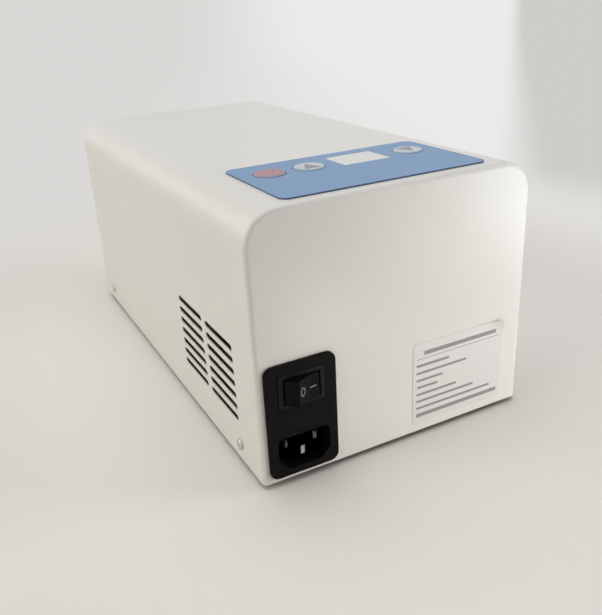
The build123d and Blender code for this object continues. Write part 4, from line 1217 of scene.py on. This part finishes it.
# %% Transformers and capacitors
coil_low, coil_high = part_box("ballast_transformers")
core_tape, tree, shader, place = start_finish(
    "orange tape round ferrite", (0.72, 0.24, 0.04), 0.35, level=0.5
)
here = axes_of(tree, place)
tape_grain = grain_of(tree, place, 0.8, 8.0)
below = cloud_tint(tree, shader, tape_grain, 0.4, 0.7, (0.62, 0.18, 0.03))
middle_y = (coil_low.y + coil_high.y) / 2
off_middle = math_node(tree, "ABSOLUTE", math_node(tree, "SUBTRACT", here["Y"], middle_y))
CORE_HALF = 0.0045
core_band = contrast(tree, off_middle, 0.0046, CORE_HALF)
tint(tree, shader, core_band, (0.035, 0.033, 0.035), below=below)
grain_surface(tree, shader, tape_grain, 0.28, 0.5, 0.05, 0.5)
finish_node(core_tape, "ballast_transformers")

can_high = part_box("ballast_capacitors")[1]
can_sleeve, tree, shader, place = start_finish("sleeved capacitor", (0.025, 0.05, 0.16), 0.25)
here = axes_of(tree, place)
sleeve_grain = grain_of(tree, place, 0.6, 9.0)
below = cloud_tint(tree, shader, sleeve_grain, 0.4, 0.7, (0.02, 0.04, 0.13))
bare_top = contrast(tree, here["Z"], can_high.z - 0.0004, can_high.z - 0.0002)
tint(tree, shader, bare_top, (0.70, 0.71, 0.72), below=below)
tree.links.new(bare_top, shader.inputs["Metallic"])
vary_roughness(tree, shader, sleeve_grain.outputs["Height"], 0.2, 0.35)
finish_node(can_sleeve, "ballast_capacitors")
print("ballast parts finished")

# %% [markdown]
# ## Wound chokes
#
# A ring choke is a ferrite ring with copper wire wound through it. Its surface is a torus whose tube
# swells and shrinks once per turn of wire. The turns lean a little, so the swelling is a function of
# both angles.

# %% Wound chokes
choke_low, choke_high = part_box("ballast_chokes")


def wound_ring(centre, ring_radius, half_thick, half_high, turns, wire):
    """Torus of elliptical section: at ring angle u and section angle v the section is scaled by
    1 + wire * |cos((turns * u + v) / 2)|, so that each turn of wire stands out as a ridge."""
    u = np.linspace(0, 2 * np.pi, turns * 8, endpoint=False)[:, None]
    v = np.linspace(0, 2 * np.pi, 28, endpoint=False)[None, :]
    swell = 1 - wire + wire * np.abs(np.cos((turns * u + v) / 2))
    out = ring_radius + half_thick * swell * np.cos(v)
    up = half_high * swell * np.sin(v)
    return np.stack(
        [centre[0] + out * np.cos(u), centre[1] + out * np.sin(u), centre[2] + up + 0 * u], axis=-1
    )


copper_wire, tree, shader, place = start_finish(
    "lacquered copper wire", (0.62, 0.22, 0.08), 0.22, metallic=0.85, coat=0.6, coat_roughness=0.1
)
lacquer = grain_of(tree, place, 0.5, 6.0)
cloud_tint(tree, shader, lacquer, 0.35, 0.7, (0.50, 0.15, 0.05))
vary_roughness(tree, shader, lacquer.outputs["Height"], 0.16, 0.34)
choke_x = (choke_low.x + choke_high.x) / 2
choke_z = (choke_low.z + choke_high.z) / 2
choke_radius = (choke_high.x - choke_low.x) / 2
half_high = (choke_high.z - choke_low.z) / 2
half_thick = 0.0021
rings = [
    (
        wound_ring(
            (choke_x, y, choke_z), choke_radius - half_thick, half_thick, half_high, 26, 0.12
        ),
        True,
        True,
    )
    for y in (choke_low.y + choke_radius, choke_high.y - choke_radius)
]
choke_piece = new_piece("wound_chokes", rings, copper_wire, "case", degrees=60.0)
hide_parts("ballast_chokes")

# %% [markdown]
# ## The fuse
#
# A mains fuse is a glass tube between two metal caps with a hair-thin wire inside. The solid only
# holds its place, so tube, caps and wire are each turned from a profile of their own.

# %% Fuse
fuse_low, fuse_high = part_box("fuse")
fuse_centre = (fuse_low + fuse_high) / 2
fuse_radius = (fuse_high.z - fuse_low.z) / 2
fuse_half = (fuse_high.x - fuse_low.x) / 2
CAP = 0.005
tube_half = fuse_half - CAP * 0.6
fuse_glass, tree, shader, place = start_finish("clear fuse glass", (0.95, 0.97, 0.96), 0.03)
shader.inputs["Transmission Weight"].default_value = 1.0
shader.inputs["IOR"].default_value = 1.47
smear = marks_of(tree, place, 3.0, 1.0)
vary_roughness(tree, shader, smear, 0.02, 0.12)


def capped_tube(start, end, outer, inner):
    """Profile of a tube with a wall: along the outside, and back along the inside."""
    return [(outer, start), (outer, end), (inner, end), (inner, start), (outer, start)]


tube_grid = turned(
    capped_tube(-tube_half, tube_half, fuse_radius - 0.0004, fuse_radius - 0.0011),
    fuse_centre,
    (1, 0, 0),
    40,
)
tube_piece = new_piece(
    "fuse_tube", [(tube_grid, False, True)], fuse_glass, "fuse_carrier", degrees=30.0
)
cap_grids = []
for side in (-1, 1):
    cap_profile = [
        (0.0, side * fuse_half),
        (fuse_radius * 0.9, side * fuse_half),
        (fuse_radius, side * (fuse_half - 0.0003)),
        (fuse_radius, side * (fuse_half - CAP)),
        (fuse_radius - 0.0003, side * (fuse_half - CAP)),
        (fuse_radius - 0.0003, side * (fuse_half - 0.0006)),
        (0.0, side * (fuse_half - 0.0006)),
    ]
    cap_grids.append((turned(cap_profile, fuse_centre, (1, 0, 0), 40), False, True))
wire_profile = [
    (0.0, -fuse_half + 0.0007),
    (0.00012, -fuse_half + 0.0007),
    (0.00012, fuse_half - 0.0007),
    (0.0, fuse_half - 0.0007),
]
cap_grids.append((turned(wire_profile, fuse_centre, (1, 0, 0), 8), False, True))
caps_piece = new_piece("fuse_caps", cap_grids, nickel_plate, "fuse_carrier")
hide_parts("fuse")
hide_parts("fuse")

# %% [markdown]
# ## Floor and backdrop
#
# The unit stands on a pale, slightly warm paper sweep: flat under the unit and curved up behind it, so
# that no horizon shows. The profile is a line, a quarter circle and another line, carried sideways.
# Far behind the unit the paper glows a little for the eye and for reflections (never for the light that
# falls on the unit), because a photographer's backdrop is lit by lamps of its own. The glow is painted
# brightest in the middle, and painted dimmer and greyer towards the right.

# %% Paper sweep
SWEEP_RADIUS = 1.2
FLAT_BACK = -2.2
FLAT_FRONT = 3.0
WALL_TOP = 3.5
HALF_WIDE = 4.0
TURN_DEGREES = -26.6
GLOW_REACH = (0.17, 0.45)
angle = np.linspace(0, np.pi / 2, 24)
bend = np.stack(
    [FLAT_BACK - SWEEP_RADIUS * np.sin(angle), SWEEP_RADIUS * (1 - np.cos(angle))], axis=-1
)
sweep_line = np.concatenate(
    [[[FLAT_FRONT, 0.0]], bend, [[FLAT_BACK - SWEEP_RADIUS, WALL_TOP]]]
)
across = np.linspace(-HALF_WIDE, HALF_WIDE, 9)
turn = math.radians(TURN_DEGREES)
flat_y = sweep_line[:, 0][:, None] + 0 * across[None, :]
flat_x = across[None, :] + 0 * sweep_line[:, 0][:, None]
sweep_points = np.stack(
    [
        flat_x * math.cos(turn) - flat_y * math.sin(turn),
        flat_x * math.sin(turn) + flat_y * math.cos(turn),
        sweep_line[:, 1][:, None] + 0 * flat_x,
    ],
    axis=-1,
)
paper, tree, shader, place = start_finish("pale paper", (0.86, 0.825, 0.78), 0.75, level=0.2)
fibre = grain_of(tree, place, 1.5, 500.0)
cloud_tint(tree, shader, fibre, 0.3, 0.7, (0.87, 0.84, 0.80))


def beyond_line(point, towards, low, high):
    """0 to 1 across an upright plane: the offset from a point, measured along one direction."""
    offset = put(tree, "ShaderNodeVectorMath", {0: place, 1: point}, operation="SUBTRACT")
    along = put(
        tree, "ShaderNodeVectorMath", {0: offset.outputs[0], 1: towards}, operation="DOT_PRODUCT"
    )
    return soft_step(along.outputs["Value"], low, high)


def soft_step(value, low, high):
    """Eased ramp from 0 to 1 between two values."""
    return put(
        tree,
        "ShaderNodeMapRange",
        {"Value": value, "From Min": low, "From Max": high},
        interpolation_type="SMOOTHSTEP",
    ).outputs[0]


distance = put(tree, "ShaderNodeVectorMath", {0: place}, operation="LENGTH").outputs["Value"]
bright_part = beyond_line((0.16, 0.357, 0.0), (-0.926, 0.377, 0.0), -0.2, 0.35)
# painted light: the glow is dimmer and greyer beyond this line, towards the right
dimmer_glow_part = beyond_line((-0.62, -0.458, 0.0), (-0.73, 0.68, 0.0), -0.03, 0.04)
dimmer_glow_part = math_node(tree, "MULTIPLY", dimmer_glow_part, soft_step(distance, 0.28, 0.5))
far_tone = blend(tree, bright_part, (0.70, 0.69, 0.675), (0.83, 0.825, 0.815))
far_tone = blend(tree, dimmer_glow_part, far_tone, (0.615, 0.61, 0.59))
glow = put(tree, "ShaderNodeEmission", {"Color": far_tone, "Strength": 1.0})
glow_share = math_node(tree, "MULTIPLY", soft_step(distance, *GLOW_REACH), seen_directly(tree))
both = put(tree, "ShaderNodeMixShader", {"Fac": glow_share})
tree.links.new(shader.outputs["BSDF"], both.inputs[1])
tree.links.new(glow.outputs["Emission"], both.inputs[2])
tree.links.new(both.outputs["Shader"], tree.nodes["Material Output"].inputs["Surface"])
sweep_mesh = bpy.data.meshes.new("paper_sweep")
sweep_mesh.from_pydata(
    sweep_points.reshape(-1, 3).tolist(), [], grid_faces(*sweep_points.shape[:2]).tolist()
)
smooth_by_angle(sweep_mesh, 40.0)
sweep_mesh.materials.append(paper)
sweep = bpy.data.objects.new("paper_sweep", sweep_mesh)
scene.collection.objects.link(sweep)
print("sweep faces:", len(sweep_mesh.polygons))

# %% [markdown]
# ## Light
#
# The photograph is a soft, bright picture. One large panel hangs overhead, one stands on the vent
# side, one in front and a small one on the label side. Three little cards close to the rear wall make
# it grow lighter towards the label and the floor, as in the photograph. The cards only light the
# unit, so that they leave no pools of light on the paper.


# %% Lights
def light_panel(name, place, target, size, watts, colour):
    """A square area light at a place, aimed at a target."""
    data = bpy.data.lights.new(name, "AREA")
    data.shape = "SQUARE"
    data.size = size
    data.energy = watts
    data.color = colour
    light = bpy.data.objects.new(name, data)
    backwards = np.array(place, float) - np.array(target, float)
    backwards /= np.linalg.norm(backwards)
    side = np.cross((0.0, 0.0, 1.0), backwards)
    side /= np.linalg.norm(side)
    matrix = np.eye(4)
    matrix[:3, 0] = side
    matrix[:3, 1] = np.cross(backwards, side)
    matrix[:3, 2] = backwards
    matrix[:3, 3] = place
    light.matrix_world = Matrix(matrix.tolist())
    light.visible_camera = False
    scene.collection.objects.link(light)
    return light


case_middle = (0.0, 0.0, 0.1)
rear_wall = (-0.05, 0.13, 0.03)
light_panel("overhead_panel", (0.1, -0.1, 1.9), case_middle, 2.0, 26.0, (0.99, 0.985, 1.0))
light_panel("vent_side_panel", (2.2, 0.0, 0.9), case_middle, 1.6, 19.5, (1.0, 0.985, 0.85))
light_panel("front_side_panel", (1.3, -2.0, 0.9), case_middle, 1.2, 5.0, (1.0, 0.99, 0.95))
light_panel("label_side_panel", (-1.4, 0.7, 0.8), case_middle, 0.8, 7.5, (1.0, 0.98, 0.95))
cards = [
    light_panel("near_card", (-0.14, 0.30, 0.01), rear_wall, 0.08, 0.05, (1.0, 0.96, 0.92)),
    light_panel("low_card", (-0.25, 0.28, 0.05), rear_wall, 0.1, 0.34, (0.95, 0.975, 1.0)),
    light_panel("foot_card", (-0.02, 0.24, 0.012), (0.02, 0.13, 0.012), 0.03, 0.021, (1.0, 0.90, 0.76)),
]
lit_pieces = bpy.data.collections.new("lit_by_cards")
for piece in scene.objects:
    if piece.type == "MESH" and piece is not sweep:
        lit_pieces.objects.link(piece)
for card in cards:
    card.light_linking.receiver_collection = lit_pieces

# %% [markdown]
# The surrounding gives almost no light, but eye and reflections see it as pale as the paper at the
# horizon and greyer overhead, so that chrome and lacquer mirror a bright room with some depth to it.

# %% Surrounding
world = bpy.data.worlds.new("pale surrounding")
world.use_nodes = True
tree = world.node_tree
sky = tree.nodes["Background"]
sky.inputs["Color"].default_value = (0.97, 0.955, 0.935, 1.0)
seen = seen_directly(tree)
towards = put(tree, "ShaderNodeTexCoord").outputs["Generated"]
height = axes_of(tree, towards)["Z"]
paleness = put(
    tree,
    "ShaderNodeMapRange",
    {"Value": height, "From Min": 0.25, "From Max": 0.85, "To Min": 0.68, "To Max": 0.2},
)
brightness = math_node(tree, "MULTIPLY_ADD", seen, paleness.outputs[0], 0.02)
tree.links.new(brightness, sky.inputs["Strength"])
scene.world = world

# %% [markdown]
# ## Finish
#
# Last, a check that no solid was forgotten.

# %% Check and finish
bare = sorted(n for n, o in nodes.items() if n not in finished and not o.hide_render)
print("solids without a finish of their own:", bare)
